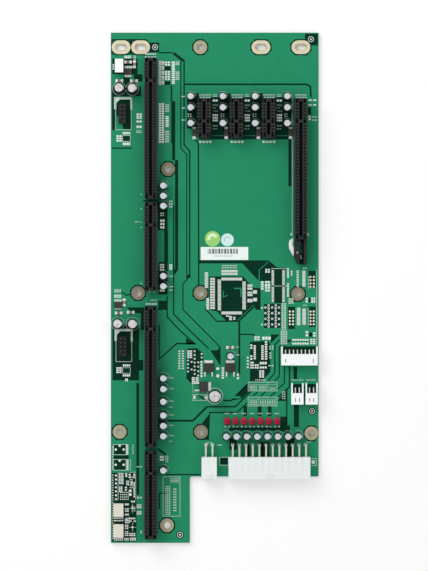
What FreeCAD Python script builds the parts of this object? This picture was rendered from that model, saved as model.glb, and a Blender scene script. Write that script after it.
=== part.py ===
import FreeCAD, Part
import Sketcher
import math
import os

# A passive backplane: one printed board that carries card-edge slots, power inlets and small parts.
# It lies flat with the component side up. X runs across the board, Y along it, and the origin is under
# the middle of the board, on the surface that the locating pegs of the slots stand on.

SIZES = {
    # printed board: a tall rectangle with its lower right corner cut away, which leaves a tongue
    "board_width": 131.5,
    "board_length": 323.0,
    "board_thickness": 1.6,
    "tongue_width": 50.0,
    "tongue_length": 42.0,
    "notch_radius": 1.5,
    # mounting holes: slotted along the top edge, round elsewhere
    "hole_radius": 2.1,
    "slot_hole_length": 7.3,
    "slot_hole_width": 4.1,
    "top_hole_row": 152.3,
    "outer_slot_left": -59.3,
    "outer_slot_right": 54.6,
    "inner_slot_left": -47.0,
    "inner_slot_right": 29.3,
    "middle_hole_column": -9.0,
    "left_hole_column": -29.9,
    "left_hole_upper": 75.1,
    "left_hole_lower": -150.4,
    "centre_hole_row": -3.5,
    "centre_hole_left": -48.5,
    "centre_hole_right": 52.6,
    "lower_hole_row": -91.5,
    "lower_hole_left": -60.2,
    "lower_hole_right": 61.2,
    # card-edge slots: moulded bars with a card channel, a key rib and two rows of contact chambers
    "slot_width": 7.5,
    "slot_height": 11.25,
    "channel_width": 1.8,
    "channel_depth": 8.4,
    "mouth_bevel": 0.35,
    "end_wall": 1.95,
    "front_span": 11.65,
    "key_width": 1.8,
    "contact_pitch": 1.0,
    "span_margin": 0.65,
    "short_tail_contacts": 7,
    "medium_tail_contacts": 38,
    "long_tail_contacts": 71,
    "chamber_row": 2.45,
    "chamber_width": 1.1,
    "chamber_depth": 2.2,
    "pocket_side": 1.5,
    "pocket_depth": 4.0,
    "pocket_from_end": 1.3,
    "peg_radius": 1.1,
    "peg_hole_radius": 1.3,
    "peg_from_end": 3.6,
    "peg_stand": 1.4,
    "host_column": -40.4,
    "host_top": 145.1,
    "host_close_gap": 2.0,
    "host_wide_gap": 9.6,
    "card_row_first": -6.7,
    "card_row_top": 119.45,
    "card_pitch": 20.32,
    # card latch at the lower end of the long slot
    "rail_inset": 1.9,
    "rail_length": 15.9,
    "rail_height": 9.0,
    "foot_inset": 0.7,
    "foot_length": 13.0,
    "foot_height": 1.2,
    "pivot_aside": 2.2,
    "pivot_beyond": 8.3,
    "pivot_radius": 0.75,
    "pivot_play": 0.05,
    "latch_lift": 0.3,
    "latch_height": 7.4,
    "latch_front": 1.4,
    "latch_back": 2.1,
    "latch_thin_back": 0.7,
    "latch_neck_reach": 7.8,
    "latch_tail_reach": 7.1,
    "latch_tail_front": 0.9,
    "latch_shoulder": 2.8,
    "latch_slope": 1.6,
    "latch_hook_start": 4.6,
    "latch_hook_slope": 0.8,
    "latch_hook_end": 7.2,
    "latch_hook_reach": 1.0,
    "latch_hook_height": 2.2,
    # two-row power inlets with right-angle pins, their mouths past the board's edge
    "power_pitch": 4.2,
    "power_side": 2.7,
    "power_depth": 13.8,
    "power_height": 9.8,
    "power_front": -120.7,
    "power_cavity": 3.4,
    "power_cavity_depth": 9.5,
    "power_divider_play": 0.1,
    "power_pin_setback": 3.2,
    "power_lower_row": 2.6,
    "power_pin_side": 1.1,
    "power_tail_upper": 20.8,
    "power_tail_lower": 15.4,
    "power_rib_width": 0.6,
    "power_rib_depth": 0.3,
    "power_rib_length": 8.5,
    "ramp_width": 4.6,
    "ramp_length": 3.0,
    "ramp_rise": 0.9,
    "main_power_middle": 34.5,
    "main_power_columns": 12,
    "side_power_middle": -3.5,
    "side_power_columns": 2,
    # white side-entry wafers at the right edge
    "wafer_pitch": 2.5,
    "wafer_depth": 7.1,
    "wafer_height": 7.0,
    "wafer_wall": 0.9,
    "wafer_floor": 1.2,
    "wafer_cavity_depth": 5.6,
    "wafer_pin_side": 0.64,
    "wafer_pin_setback": 1.2,
    "wafer_slit_width": 0.6,
    "wafer_slit_length": 2.6,
    "wafer_slit_from_mouth": 1.6,
    "wide_wafer_ways": 8,
    "wide_wafer_width": 23.0,
    "wide_wafer_arm": 4.8,
    "wide_wafer_middle": 53.5,
    "wide_wafer_front": -49.0,
    "narrow_wafer_ways": 2,
    "narrow_wafer_width": 7.7,
    "narrow_wafer_arm": 6.4,
    "left_wafer_middle": 52.2,
    "right_wafer_middle": 61.2,
    "narrow_wafer_front": -73.7,
    # low side-entry connectors at the left edge
    "edge_width": 8.3,
    "edge_depth": 6.3,
    "edge_height": 5.4,
    "edge_front": -64.0,
    "edge_pitch": 2.0,
    "edge_ways": 3,
    "upper_edge_middle": -140.6,
    "lower_edge_middle": -153.7,
    "corner_width": 8.5,
    "corner_depth": 5.3,
    "corner_front": -63.1,
    "corner_middle": 140.4,
    # open pin headers, two by five with one pin left out
    "header_pitch": 2.54,
    "header_base_height": 2.5,
    "header_pin_side": 0.64,
    "header_pin_top": 8.6,
    "header_rows": 5,
    "upper_header_x": -58.4,
    "upper_header_y": 110.1,
    "lower_header_x": -58.1,
    "lower_header_y": -37.2,
    # radial electrolytic capacitors
    "small_can_radius": 2.5,
    "small_can_height": 11.0,
    "large_can_radius": 3.15,
    "large_can_height": 11.2,
    "bulk_can_radius": 4.0,
    "bulk_can_height": 11.5,
    "can_rim": 0.6,
    "can_top_rise": 0.2,
    "slot_can_aside": 8.6,
    "host_can_column": -32.5,
    "power_can_row": -93.8,
    "power_can_first": 7.2,
    "power_can_pitch": 6.5,
    # indicator lamps
    "lamp_width": 3.9,
    "lamp_length": 5.0,
    "lamp_height": 3.2,
    "lamp_bevel": 0.7,
    "lamp_row": -84.5,
    "lamp_first": 7.8,
    "lamp_pitch": 5.27,
    # tab regulators
    "regulator_width": 6.2,
    "regulator_depth": 5.6,
    "regulator_height": 2.3,
    "regulator_bevel": 0.4,
    "regulator_tab_width": 5.3,
    "regulator_tab_reach": 1.7,
    "regulator_sheet": 0.5,
    "regulator_lead_width": 0.8,
    "regulator_lead_reach": 2.9,
    "regulator_lead_pitch": 2.3,
    # eight-lead driver chips
    "driver_width": 4.9,
    "driver_depth": 3.9,
    "driver_height": 1.6,
    "driver_lead_pitch": 1.27,
    "driver_lead_width": 0.42,
    "driver_lead_reach": 1.1,
    "driver_lead_height": 0.9,
    # moulded tantalum capacitors beside the card slots
    "tantalum_aside": 6.3,
    "tantalum_row": 98.2,
    "tantalum_width": 2.6,
    "tantalum_length": 4.6,
    "tantalum_height": 1.9,
    "tantalum_end_width": 2.0,
    "tantalum_end_length": 0.7,
    "tantalum_end_height": 1.2,
    # chip capacitors
    "chip_length": 3.2,
    "chip_width": 1.6,
    "chip_height": 1.1,
    # stickers
    "sticker_thickness": 0.1,
    "label_width": 30.1,
    "label_length": 8.2,
    "label_x": 6.15,
    "label_y": 21.7,
    "green_sticker_radius": 4.85,
    "green_sticker_x": -1.4,
    "green_sticker_y": 31.0,
    "white_sticker_radius": 4.05,
    "white_sticker_x": 8.0,
    "white_sticker_y": 30.3,
}

# Rows of the three capacitors beside each card slot, and places down the host column's right side.
SLOT_CAN_ROWS = (120.8, 113.7, 103.8)
HOST_CAN_ROWS = (64.4, 57.9, 51.6, 7.4, 0.9, -57.1, -63.9, -71.8, -80.5, -87.1, -93.6, -115.2)
LONE_CAN_PLACE = (9.8, -43.2)
POWER_CAN_COUNT = 8
LARGE_CAN_PLACES = ((-60.5, 126.1), (-52.2, 125.9), (-61.4, -22.6), (-52.0, -22.8))
BULK_CAN_PLACE = (0.0, -68.5)
LAMP_COUNT = 7
CARD_SLOT_COUNT = 4
# Middle and quarter turns of each tab regulator, driver chip and chip capacitor.
REGULATOR_PLACES = ((9.8, -50.5, 0), (-3.9, -50.5, 0), (-7.0, -62.6, -1))
DRIVER_PLACES = (("upper", -54.8, 136.8, 0), ("lower", -61.2, -10.9, 0))
FLAT_CHIP_PLACES = (
    (-54.9, 142.9), (-60.4, 131.0), (-51.1, 130.9), (-60.8, -16.0), (-53.2, -15.6), (9.7, -37.8)
)
UPRIGHT_CHIP_PLACES = ((-50.8, 141.4), (-57.3, -9.3))

# Flats round the small pieces that repeat.
PEG_FLATS = 6
CAN_FLATS = 14
LAMP_FLATS = 12

UP = FreeCAD.Vector(0, 0, 1)
TOUCH = 0.01

document = FreeCAD.newDocument("Backplane")
sheet = document.addObject("Spreadsheet::Sheet", "Sizes")
for row, (alias, number) in enumerate(SIZES.items(), start=1):
    sheet.set(f"A{row}", alias)
    sheet.set(f"B{row}", str(number))
    sheet.setAlias(f"B{row}", alias)
document.recompute()

pieces = []


class Size:
    """A length that holds its number and the sheet expression that it follows."""

    def __init__(self, number, text):
        self.number = number
        self.text = text

    def join(self, sign, other, number):
        return Size(number, f"({self.text} {sign} {other.text})")

    def __add__(self, other):
        other = as_size(other)
        return self.join("+", other, self.number + other.number)

    def __sub__(self, other):
        other = as_size(other)
        return self.join("-", other, self.number - other.number)

    def __mul__(self, other):
        other = as_size(other)
        return self.join("*", other, self.number * other.number)

    def __truediv__(self, other):
        other = as_size(other)
        return self.join("/", other, self.number / other.number)

    def __neg__(self):
        return self * -1


def as_size(item):
    """A plain number as a Size."""
    if isinstance(item, Size):
        return item
    return Size(item, f"({item})")


def size(alias):
    """The sheet's cell of that name."""
    return Size(SIZES[alias], f"Sizes.{alias}")


BOARD_TOP = size("peg_stand") + size("board_thickness")


def bind(target, path, length):
    """Make a property follow the sheet."""
    target.setExpression(path, as_size(length).text)


def new_body(label):
    """An empty body whose label names its file. It may hold several like solids."""
    body = document.addObject("PartDesign::Body", label)
    body.Label = label
    body.AllowCompound = True
    pieces.append(body)
    return body


def origin_part(body, role):
    """The body's own origin plane or axis of that role."""
    for feature in body.Origin.OriginFeatures:
        if feature.Role == role:
            return feature
    raise ValueError(f"{body.Label} has no {role}")


def new_sketch(body, plane="XY_Plane", lift=None):
    """A sketch on one of the body's own planes, lifted along the plane's normal."""
    sketch = body.newObject("Sketcher::SketchObject", f"{body.Label}_sketch")
    sketch.AttachmentSupport = [(origin_part(body, plane), "")]
    sketch.MapMode = "FlatFace"
    if lift is not None:
        bind(sketch, "AttachmentOffset.Base.z", lift)
    return sketch


def fix(sketch, kind, references, length):
    """Add a measured constraint that follows the sheet."""
    length = as_size(length)
    index = sketch.addConstraint(Sketcher.Constraint(kind, *references, length.number))
    bind(sketch, f"Constraints[{index}]", length)


def fix_point(sketch, geometry, point, x, y):
    """Hold one point of the sketch at x, y from its origin."""
    fix(sketch, "DistanceX", (-1, 1, geometry, point), x)
    fix(sketch, "DistanceY", (-1, 1, geometry, point), y)


def draw_outline(sketch, corners):
    """A closed run of straight lines through the corners."""
    corners = [(as_size(x), as_size(y)) for x, y in corners]
    vectors = [FreeCAD.Vector(x.number, y.number, 0) for x, y in corners]
    lines = [Part.LineSegment(a, b) for a, b in zip(vectors, vectors[1:] + vectors[:1])]
    indices = sketch.addGeometry(lines, False)
    for here, following in zip(indices, indices[1:] + indices[:1]):
        sketch.addConstraint(Sketcher.Constraint("Coincident", here, 2, following, 1))
    for index, (x, y) in zip(indices, corners):
        fix_point(sketch, index, 1, x, y)


def draw_box(sketch, low_x, low_y, high_x, high_y):
    """A rectangle between two corners."""
    draw_outline(sketch, ((low_x, low_y), (high_x, low_y), (high_x, high_y), (low_x, high_y)))


def draw_centred_box(sketch, x, y, width, length):
    """A rectangle about its middle."""
    x, y, width, length = [as_size(item) for item in (x, y, width, length)]
    draw_box(sketch, x - width / 2, y - length / 2, x + width / 2, y + length / 2)


def draw_circle(sketch, x, y, radius):
    """A circle about its middle."""
    x, y, radius = [as_size(item) for item in (x, y, radius)]
    circle = Part.Circle(FreeCAD.Vector(x.number, y.number, 0), UP, radius.number)
    index = sketch.addGeometry(circle, False)
    fix(sketch, "Radius", (index,), radius)
    fix_point(sketch, index, 3, x, y)


def draw_flats(sketch, x, y, radius, flats, stretch=1.0):
    """A round outline made of flats, for small pieces that repeat. It may be stretched along Y."""
    x, y = as_size(x), as_size(y)
    angles = [math.tau * step / flats for step in range(flats)]
    corners = [(x + radius * math.cos(a), y + radius * (stretch * math.sin(a))) for a in angles]
    draw_outline(sketch, corners)


def draw_oblong(sketch, x, y, length, width):
    """A slot along X with round ends."""
    radius = width / 2
    reach = length / 2 - radius
    ends = []
    for side in (1, -1):
        end_x = x + reach * side
        middle = FreeCAD.Vector(end_x.number, y.number, 0)
        circle = Part.Circle(middle, UP, radius.number)
        start = -side * math.pi / 2
        ends.append((Part.ArcOfCircle(circle, start, start + math.pi), end_x))
    first, second = [arc for arc, _ in ends]
    sides = [
        Part.LineSegment(first.EndPoint, second.StartPoint),
        Part.LineSegment(second.EndPoint, first.StartPoint),
    ]
    arc_a, line_a, arc_b, line_b = sketch.addGeometry([first, sides[0], second, sides[1]], False)
    for here, following in ((arc_a, line_a), (line_a, arc_b), (arc_b, line_b), (line_b, arc_a)):
        sketch.addConstraint(Sketcher.Constraint("Tangent", here, 2, following, 1))
    for index, (_, end_x) in zip((arc_a, arc_b), ends):
        fix(sketch, "Radius", (index,), radius)
        fix_point(sketch, index, 3, end_x, y)


def pad(body, sketch, length, downwards=False, centred=False):
    """Grow the sketch into a solid."""
    feature = body.newObject("PartDesign::Pad", f"{body.Label}_pad")
    feature.Profile = sketch
    bind(feature, "Length", length)
    feature.Reversed = downwards
    feature.Midplane = centred
    document.recompute()
    return feature


def pocket(body, sketch, depth):
    """Cut the sketch into the solid, against the sketch's normal, and see that it cut something."""
    before = body.Shape.Volume
    feature = body.newObject("PartDesign::Pocket", f"{body.Label}_pocket")
    feature.Profile = sketch
    bind(feature, "Length", depth)
    document.recompute()
    if not body.Shape.Volume < before:
        raise ValueError(f"{feature.Label} cuts nothing")
    return feature


def repeat(body, features, axis, spacing, count):
    """Repeat features along one of the body's own axes."""
    pattern = body.newObject("PartDesign::LinearPattern", f"{body.Label}_row")
    pattern.Originals = features
    pattern.Direction = (origin_part(body, axis), [""])
    bind(pattern, "Length", spacing * (count - 1))
    bind(pattern, "Occurrences", count)
    body.Tip = pattern
    document.recompute()
    return pattern


def mirror(body, features, plane):
    """Repeat features on the other side of one of the body's own planes."""
    twin = body.newObject("PartDesign::Mirrored", f"{body.Label}_twin")
    twin.Originals = features
    twin.MirrorPlane = (origin_part(body, plane), [""])
    body.Tip = twin
    document.recompute()
    return twin


def finish_edges(body, kind, edge_test, property_name, width):
    """Bevel (Chamfer) or round (Fillet) the edges that the test picks."""
    tip = body.Tip
    names = [f"Edge{i}" for i, edge in enumerate(tip.Shape.Edges, start=1) if edge_test(edge)]
    feature = body.newObject(f"PartDesign::{kind}", f"{body.Label}_edges")
    feature.Base = (tip, names)
    bind(feature, property_name, width)
    document.recompute()


def place(piece, x, y, z, quarter_turns=0):
    """Stand the piece in the board's frame."""
    piece.Placement = FreeCAD.Placement(FreeCAD.Vector(), FreeCAD.Rotation(UP, 90 * quarter_turns))
    for axis, length in zip("xyz", (x, y, z)):
        bind(piece, f"Placement.Base.{axis}", length)


def slot_length(tail_contacts):
    """Overall length of a slot housing, from the number of contacts past its key."""
    tail_span = size(tail_contacts) * size("contact_pitch") + size("span_margin")
    return size("end_wall") * 2 + size("front_span") + size("key_width") + tail_span


def peg_places(tail_contacts):
    """Distances of the two locating pegs from a slot's first end."""
    key = size("end_wall") + size("front_span") + size("key_width") / 2
    return key, slot_length(tail_contacts) - size("peg_from_end")


def slot_layout():
    """Name, contact count, middle X and first end of every card-edge slot."""
    gaps = (size("host_close_gap"), size("host_wide_gap"), size("host_close_gap"), as_size(0))
    tails = ("long_tail_contacts", "medium_tail_contacts") * 2
    top = size("host_top")
    rows = []
    for number, (tail, gap) in enumerate(zip(tails, gaps), start=1):
        rows.append((f"host_slot_{number}", tail, size("host_column"), top))
        top = top - slot_length(tail) - gap
    for number in range(CARD_SLOT_COUNT):
        last = number == CARD_SLOT_COUNT - 1
        label = "long_card_slot" if last else f"short_card_slot_{number + 1}"
        tail = "long_tail_contacts" if last else "short_tail_contacts"
        rows.append((label, tail, card_slot_x(number), size("card_row_top")))
    return rows


def card_slot_x(number):
    """Middle of a slot in the row of card slots."""
    return size("card_row_first") + size("card_pitch") * number


def build_board():
    """The bare board with its notch, mounting holes and peg holes."""
    body = new_body("circuit_board")
    half_width = size("board_width") / 2
    half_length = size("board_length") / 2
    notch_x = size("tongue_width") - half_width
    notch_y = size("tongue_length") - half_length
    outline = new_sketch(body)
    draw_outline(
        outline,
        (
            (-half_width, -half_length),
            (notch_x, -half_length),
            (notch_x, notch_y),
            (half_width, notch_y),
            (half_width, half_length),
            (-half_width, half_length),
        ),
    )
    pad(body, outline, size("board_thickness"))

    def is_inner_corner(edge):
        middle = edge.CenterOfMass
        return math.hypot(middle.x - notch_x.number, middle.y - notch_y.number) < TOUCH

    finish_edges(body, "Fillet", is_inner_corner, "Radius", size("notch_radius"))
    holes = new_sketch(body, lift=size("board_thickness"))
    for x in ("outer_slot_left", "outer_slot_right", "inner_slot_left", "inner_slot_right"):
        draw_oblong(
            holes, size(x), size("top_hole_row"), size("slot_hole_length"), size("slot_hole_width")
        )
    round_holes = (
        ("middle_hole_column", "top_hole_row"),
        ("middle_hole_column", "centre_hole_row"),
        ("middle_hole_column", "lower_hole_row"),
        ("left_hole_column", "left_hole_upper"),
        ("left_hole_column", "left_hole_lower"),
        ("centre_hole_left", "centre_hole_row"),
        ("centre_hole_right", "centre_hole_row"),
        ("lower_hole_left", "lower_hole_row"),
        ("lower_hole_right", "lower_hole_row"),
    )
    for x, y in round_holes:
        draw_circle(holes, size(x), size(y), size("hole_radius"))
    pocket(body, holes, size("board_thickness"))
    for _, tail, x, top in slot_layout():
        peg_holes = new_sketch(body, lift=size("board_thickness"))
        for distance in peg_places(tail):
            draw_flats(peg_holes, x, top - distance, size("peg_hole_radius"), PEG_FLATS)
        pocket(body, peg_holes, size("board_thickness"))
    place(body, 0, 0, size("peg_stand"))


def build_slot(label, tail, x, top):
    """One slot housing: bar, keyed card channel, contact chambers, end pockets and pegs."""
    body = new_body(label)
    half = size("slot_width") / 2
    length = slot_length(tail)
    height = size("slot_height")
    front = size("end_wall")
    key_start = front + size("front_span")
    key_end = key_start + size("key_width")
    spans = ((front, key_start), (key_end, length - size("end_wall")))

    bar = new_sketch(body)
    draw_box(bar, -half, -length, half, 0)
    pad(body, bar, height)

    channel = new_sketch(body, lift=height)
    wall = size("channel_width") / 2
    for start, end in spans:
        draw_box(channel, -wall, -end, wall, -start)
    pocket(body, channel, size("channel_depth"))

    def is_channel_mouth(edge):
        middle = edge.CenterOfMass
        on_wall = abs(abs(middle.x) - wall.number) < TOUCH
        return on_wall and abs(middle.z - height.number) < TOUCH

    finish_edges(body, "Chamfer", is_channel_mouth, "Size", size("mouth_bevel"))

    chambers = new_sketch(body, lift=height)
    row = size("chamber_row")
    side = size("chamber_width") / 2
    inset = size("pocket_side") / 2
    ends = (size("pocket_from_end"), (key_start + key_end) / 2, length - size("pocket_from_end"))
    for near, far in zip(ends, ends[1:]):
        draw_box(chambers, row - side, inset - far, row + side, -near - inset)
    row_cut = pocket(body, chambers, size("chamber_depth"))
    pockets = new_sketch(body, lift=height)
    for distance in ends:
        draw_centred_box(pockets, row, -distance, size("pocket_side"), size("pocket_side"))
    pocket_cut = pocket(body, pockets, size("pocket_depth"))
    mirror(body, [row_cut, pocket_cut], "YZ_Plane")

    pegs = new_sketch(body)
    for distance in peg_places(tail):
        draw_flats(pegs, 0, -distance, size("peg_radius"), PEG_FLATS)
    pad(body, pegs, BOARD_TOP, downwards=True)
    place(body, x, top, BOARD_TOP)
    return body


def add_latch_seat(body):
    """The rail and the foot that carry the latch, past the lower end of the long slot."""
    half = size("slot_width") / 2
    end = -slot_length("long_tail_contacts")
    rail = new_sketch(body)
    draw_box(rail, size("rail_inset"), end - size("rail_length"), half, end)
    pad(body, rail, size("rail_height"))
    foot = new_sketch(body)
    draw_box(foot, -half, end - size("foot_length"), -size("foot_inset"), end)
    pad(body, foot, size("foot_height"))


def build_latch():
    """The card latch: a lever with a hooked neck that swings on an upright pin."""
    x = card_slot_x(CARD_SLOT_COUNT - 1) - size("pivot_aside")
    y = size("card_row_top") - slot_length("long_tail_contacts") - size("pivot_beyond")
    floor = BOARD_TOP + size("foot_height")
    lever = new_body("card_latch")
    outline = new_sketch(lever)
    front, back, thin = size("latch_front"), size("latch_back"), size("latch_thin_back")
    neck, tail = size("latch_neck_reach"), size("latch_tail_reach")
    shoulder = size("latch_shoulder")
    waist = shoulder + size("latch_slope")
    draw_outline(
        outline,
        (
            (-thin, -tail),
            (size("latch_tail_front"), -tail),
            (front, -shoulder),
            (front, neck),
            (-thin, neck),
            (-thin, waist),
            (-back, shoulder),
            (-back, -shoulder),
            (-thin, -waist),
        ),
    )
    pad(lever, outline, size("latch_height"))
    bore = new_sketch(lever, lift=size("latch_height"))
    draw_circle(bore, 0, 0, size("pivot_radius") + size("pivot_play"))
    pocket(lever, bore, size("latch_height"))
    hook = new_sketch(lever, lift=size("latch_height") - size("latch_hook_height"))
    start, end = size("latch_hook_start"), size("latch_hook_end")
    tip = front + size("latch_hook_reach")
    draw_outline(hook, ((front, start), (tip, start + size("latch_hook_slope")), (tip, end), (front, end)))
    pad(lever, hook, size("latch_hook_height"))
    place(lever, x, y, floor + size("latch_lift"))

    pin = document.addObject("Part::Cylinder", "latch_pin")
    pin.Label = "latch_pin"
    bind(pin, "Radius", size("pivot_radius"))
    bind(pin, "Height", size("latch_height") + size("latch_lift") * 2)
    pieces.append(pin)
    place(pin, x, y, floor)


def draw_bent_pin(sketch, tip, tail, row, side):
    """Side view of a square pin that runs back from its tip and turns down to the board."""
    half = side / 2
    draw_outline(
        sketch,
        (
            (tip, row - half),
            (tail - half, row - half),
            (tail - half, 0),
            (tail + half, 0),
            (tail + half, row + half),
            (tip, row + half),
        ),
    )


def build_power_inlet(name, columns, middle):
    """A two-row shroud, the dividers that part its cells, and its right-angle pins."""
    housing = new_body(f"{name}_housing")
    pitch = size("power_pitch")
    count = size(columns)
    first = -pitch * (count - 1) / 2
    half = size("power_side") - first
    depth = size("power_depth")
    height = size("power_height")
    rows = (size("power_lower_row"), size("power_lower_row") + pitch)

    block = new_sketch(housing)
    draw_box(block, -half, 0, half, depth)
    pad(housing, block, height)
    cell = size("power_cavity")
    inside = cell / 2 - first
    mouth = new_sketch(housing, "XZ_Plane")
    draw_box(mouth, -inside, rows[0] - cell / 2, inside, rows[1] + cell / 2)
    pocket(housing, mouth, size("power_cavity_depth"))

    grooves = new_sketch(housing, lift=height)
    start = depth - size("power_rib_length")
    draw_centred_box(
        grooves, first + pitch / 2, (depth + start) / 2, size("power_rib_width"), depth - start
    )
    groove = pocket(housing, grooves, size("power_rib_depth"))
    if SIZES[columns] > 2:
        repeat(housing, [groove], "X_Axis", pitch, count - 1)

    ramp = new_sketch(housing, "YZ_Plane")
    reach = size("ramp_length")
    draw_outline(ramp, ((0, height), (reach, height), (reach, height + size("ramp_rise"))))
    pad(housing, ramp, size("ramp_width"), centred=True)
    place(housing, size(middle), size("power_front"), BOARD_TOP)

    dividers = new_body(f"{name}_dividers")
    wall = pitch - cell
    uprights = new_sketch(dividers, "XZ_Plane")
    for row in rows:
        draw_centred_box(uprights, first + pitch / 2, row, wall, cell - size("power_divider_play"))
    pair = pad(dividers, uprights, size("power_cavity_depth"), downwards=True)
    if SIZES[columns] > 2:
        repeat(dividers, [pair], "X_Axis", pitch, count - 1)
    shelf = new_sketch(dividers, "XZ_Plane")
    draw_centred_box(shelf, 0, (rows[0] + rows[1]) / 2, inside * 2, wall)
    pad(dividers, shelf, size("power_cavity_depth"), downwards=True)
    place(dividers, size(middle), size("power_front"), BOARD_TOP)

    pins = new_body(f"{name}_pins")
    side = size("power_pin_side")
    profile = new_sketch(pins, "YZ_Plane", lift=first - side / 2)
    for row, tail in zip(rows, (size("power_tail_lower"), size("power_tail_upper"))):
        draw_bent_pin(profile, size("power_pin_setback"), tail, row, side)
    pair = pad(pins, profile, side)
    repeat(pins, [pair], "X_Axis", pitch, count)
    place(pins, size(middle), size("power_front"), BOARD_TOP)


def build_wafer(name, ways, width, arm, middle, front):
    """A side-entry wafer: shrouded body, two rear arms, latch slits and a row of bent pins."""
    housing = new_body(f"{name}_housing")
    half = size(width) / 2
    wall = size("wafer_wall")
    depth = size("wafer_depth")
    back = depth + size(arm)
    height = size("wafer_height")
    pitch = size("wafer_pitch")
    first = -pitch * (size(ways) - 1) / 2

    shape = new_sketch(housing)
    draw_outline(
        shape,
        (
            (-half, 0),
            (half, 0),
            (half, back),
            (half - wall, back),
            (half - wall, depth),
            (wall - half, depth),
            (wall - half, back),
            (-half, back),
        ),
    )
    pad(housing, shape, height)
    mouth = new_sketch(housing, "XZ_Plane")
    draw_box(mouth, wall - half, size("wafer_floor"), half - wall, height - wall)
    pocket(housing, mouth, size("wafer_cavity_depth"))
    slits = new_sketch(housing, lift=height)
    for x in (first, -first):
        draw_centred_box(
            slits,
            x,
            size("wafer_slit_from_mouth") + size("wafer_slit_length") / 2,
            size("wafer_slit_width"),
            size("wafer_slit_length"),
        )
    pocket(housing, slits, wall)
    place(housing, size(middle), size(front), BOARD_TOP)

    pins = new_body(f"{name}_pins")
    side = size("wafer_pin_side")
    profile = new_sketch(pins, "YZ_Plane", lift=first - side / 2)
    draw_bent_pin(profile, size("wafer_pin_setback"), depth + size(arm) / 2, height / 2, side)
    pin = pad(pins, profile, side)
    repeat(pins, [pin], "X_Axis", pitch, size(ways))
    place(pins, size(middle), size(front), BOARD_TOP)


def build_edge_connector(name, width, depth, middle, front):
    """A low closed-top connector whose mouth faces the board's left edge, with straight pins."""
    housing = new_body(f"{name}_housing")
    half = size(width) / 2
    wall = size("wafer_wall")
    height = size("edge_height")
    block = new_sketch(housing)
    draw_box(block, -half, 0, half, size(depth))
    pad(housing, block, height)
    mouth = new_sketch(housing, "XZ_Plane")
    draw_box(mouth, wall - half, wall, half - wall, height - wall)
    pocket(housing, mouth, size(depth) - wall)
    place(housing, size(front), size(middle), BOARD_TOP, -1)

    pins = new_body(f"{name}_pins")
    side = size("wafer_pin_side")
    face = new_sketch(pins, "XZ_Plane", lift=wall - size(depth))
    for step in range(SIZES["edge_ways"]):
        x = size("edge_pitch") * (step - (SIZES["edge_ways"] - 1) / 2)
        draw_centred_box(face, x, height / 2, side, side)
    pad(pins, face, size(depth) - wall * 2)
    place(pins, size(front), size(middle), BOARD_TOP, -1)


def build_header(name, x, y):
    """An open two-row pin header with one corner pin left out as a key."""
    rows = SIZES["header_rows"]
    pitch = size("header_pitch")
    base = new_body(f"{name}_base")
    block = new_sketch(base)
    draw_centred_box(block, 0, 0, pitch * 2, pitch * rows)
    pad(base, block, size("header_base_height"))
    place(base, size(x), size(y), BOARD_TOP)

    pins = new_body(f"{name}_pins")
    grid = new_sketch(pins)
    for column in (-0.5, 0.5):
        for row in range(rows):
            is_key = column < 0 and row == 0
            if not is_key:
                height = pitch * (row - (rows - 1) / 2)
                side = size("header_pin_side")
                draw_centred_box(grid, pitch * column, height, side, side)
    pad(pins, grid, size("header_pin_top"))
    place(pins, size(x), size(y), BOARD_TOP)


def add_can(label, x, y, radius, height):
    """One upright round can on the board."""
    can = document.addObject("Part::Prism", label)
    can.Polygon = CAN_FLATS
    bind(can, "Circumradius", radius)
    bind(can, "Height", height)
    place(can, x, y, BOARD_TOP)
    return can


def group(label, members):
    """Like solids that share one piece."""
    bundle = document.addObject("Part::Compound", label)
    bundle.Links = members
    pieces.append(bundle)


def build_capacitors():
    """Radial electrolytic capacitors: small ones by the slots and inlets, large ones by the headers."""
    places = []
    for number in range(CARD_SLOT_COUNT):
        x = card_slot_x(number) - size("slot_can_aside")
        places += [(x, y) for y in SLOT_CAN_ROWS]
    places += [(size("host_can_column"), y) for y in HOST_CAN_ROWS]
    first, step = size("power_can_first"), size("power_can_pitch")
    places += [(first + step * n, size("power_can_row")) for n in range(POWER_CAN_COUNT)]
    places.append(LONE_CAN_PLACE)
    radius, height = size("small_can_radius"), size("small_can_height")
    group("small_capacitors", [add_can("small_can", x, y, radius, height) for x, y in places])

    for label, kind, spots in (
        ("large_capacitors", "large_can", LARGE_CAN_PLACES),
        ("bulk_capacitor", "bulk_can", (BULK_CAN_PLACE,)),
    ):
        radius, height = size(f"{kind}_radius"), size(f"{kind}_height")
        cans = []
        for x, y in spots:
            can = document.addObject("Part::Fuse", kind)
            can.Base = add_can(f"{kind}_sleeve", x, y, radius, height)
            top_height = height + size("can_top_rise")
            can.Tool = add_can(f"{kind}_top", x, y, radius - size("can_rim"), top_height)
            cans.append(can)
        group(label, cans)


def build_lamps():
    """The row of oval indicator lamps, sloped in at the top."""
    body = new_body("indicator_lamps")
    stretch = SIZES["lamp_length"] / SIZES["lamp_width"]
    height = size("lamp_height")
    outline = new_sketch(body)
    draw_flats(outline, 0, 0, size("lamp_width") / 2, LAMP_FLATS, stretch)
    lens = pad(body, outline, height)
    repeat(body, [lens], "X_Axis", size("lamp_pitch"), as_size(LAMP_COUNT))

    def is_top(edge):
        return edge.BoundBox.ZMin > height.number - TOUCH

    finish_edges(body, "Chamfer", is_top, "Size", size("lamp_bevel"))
    place(body, size("lamp_first"), size("lamp_row"), BOARD_TOP)


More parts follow.
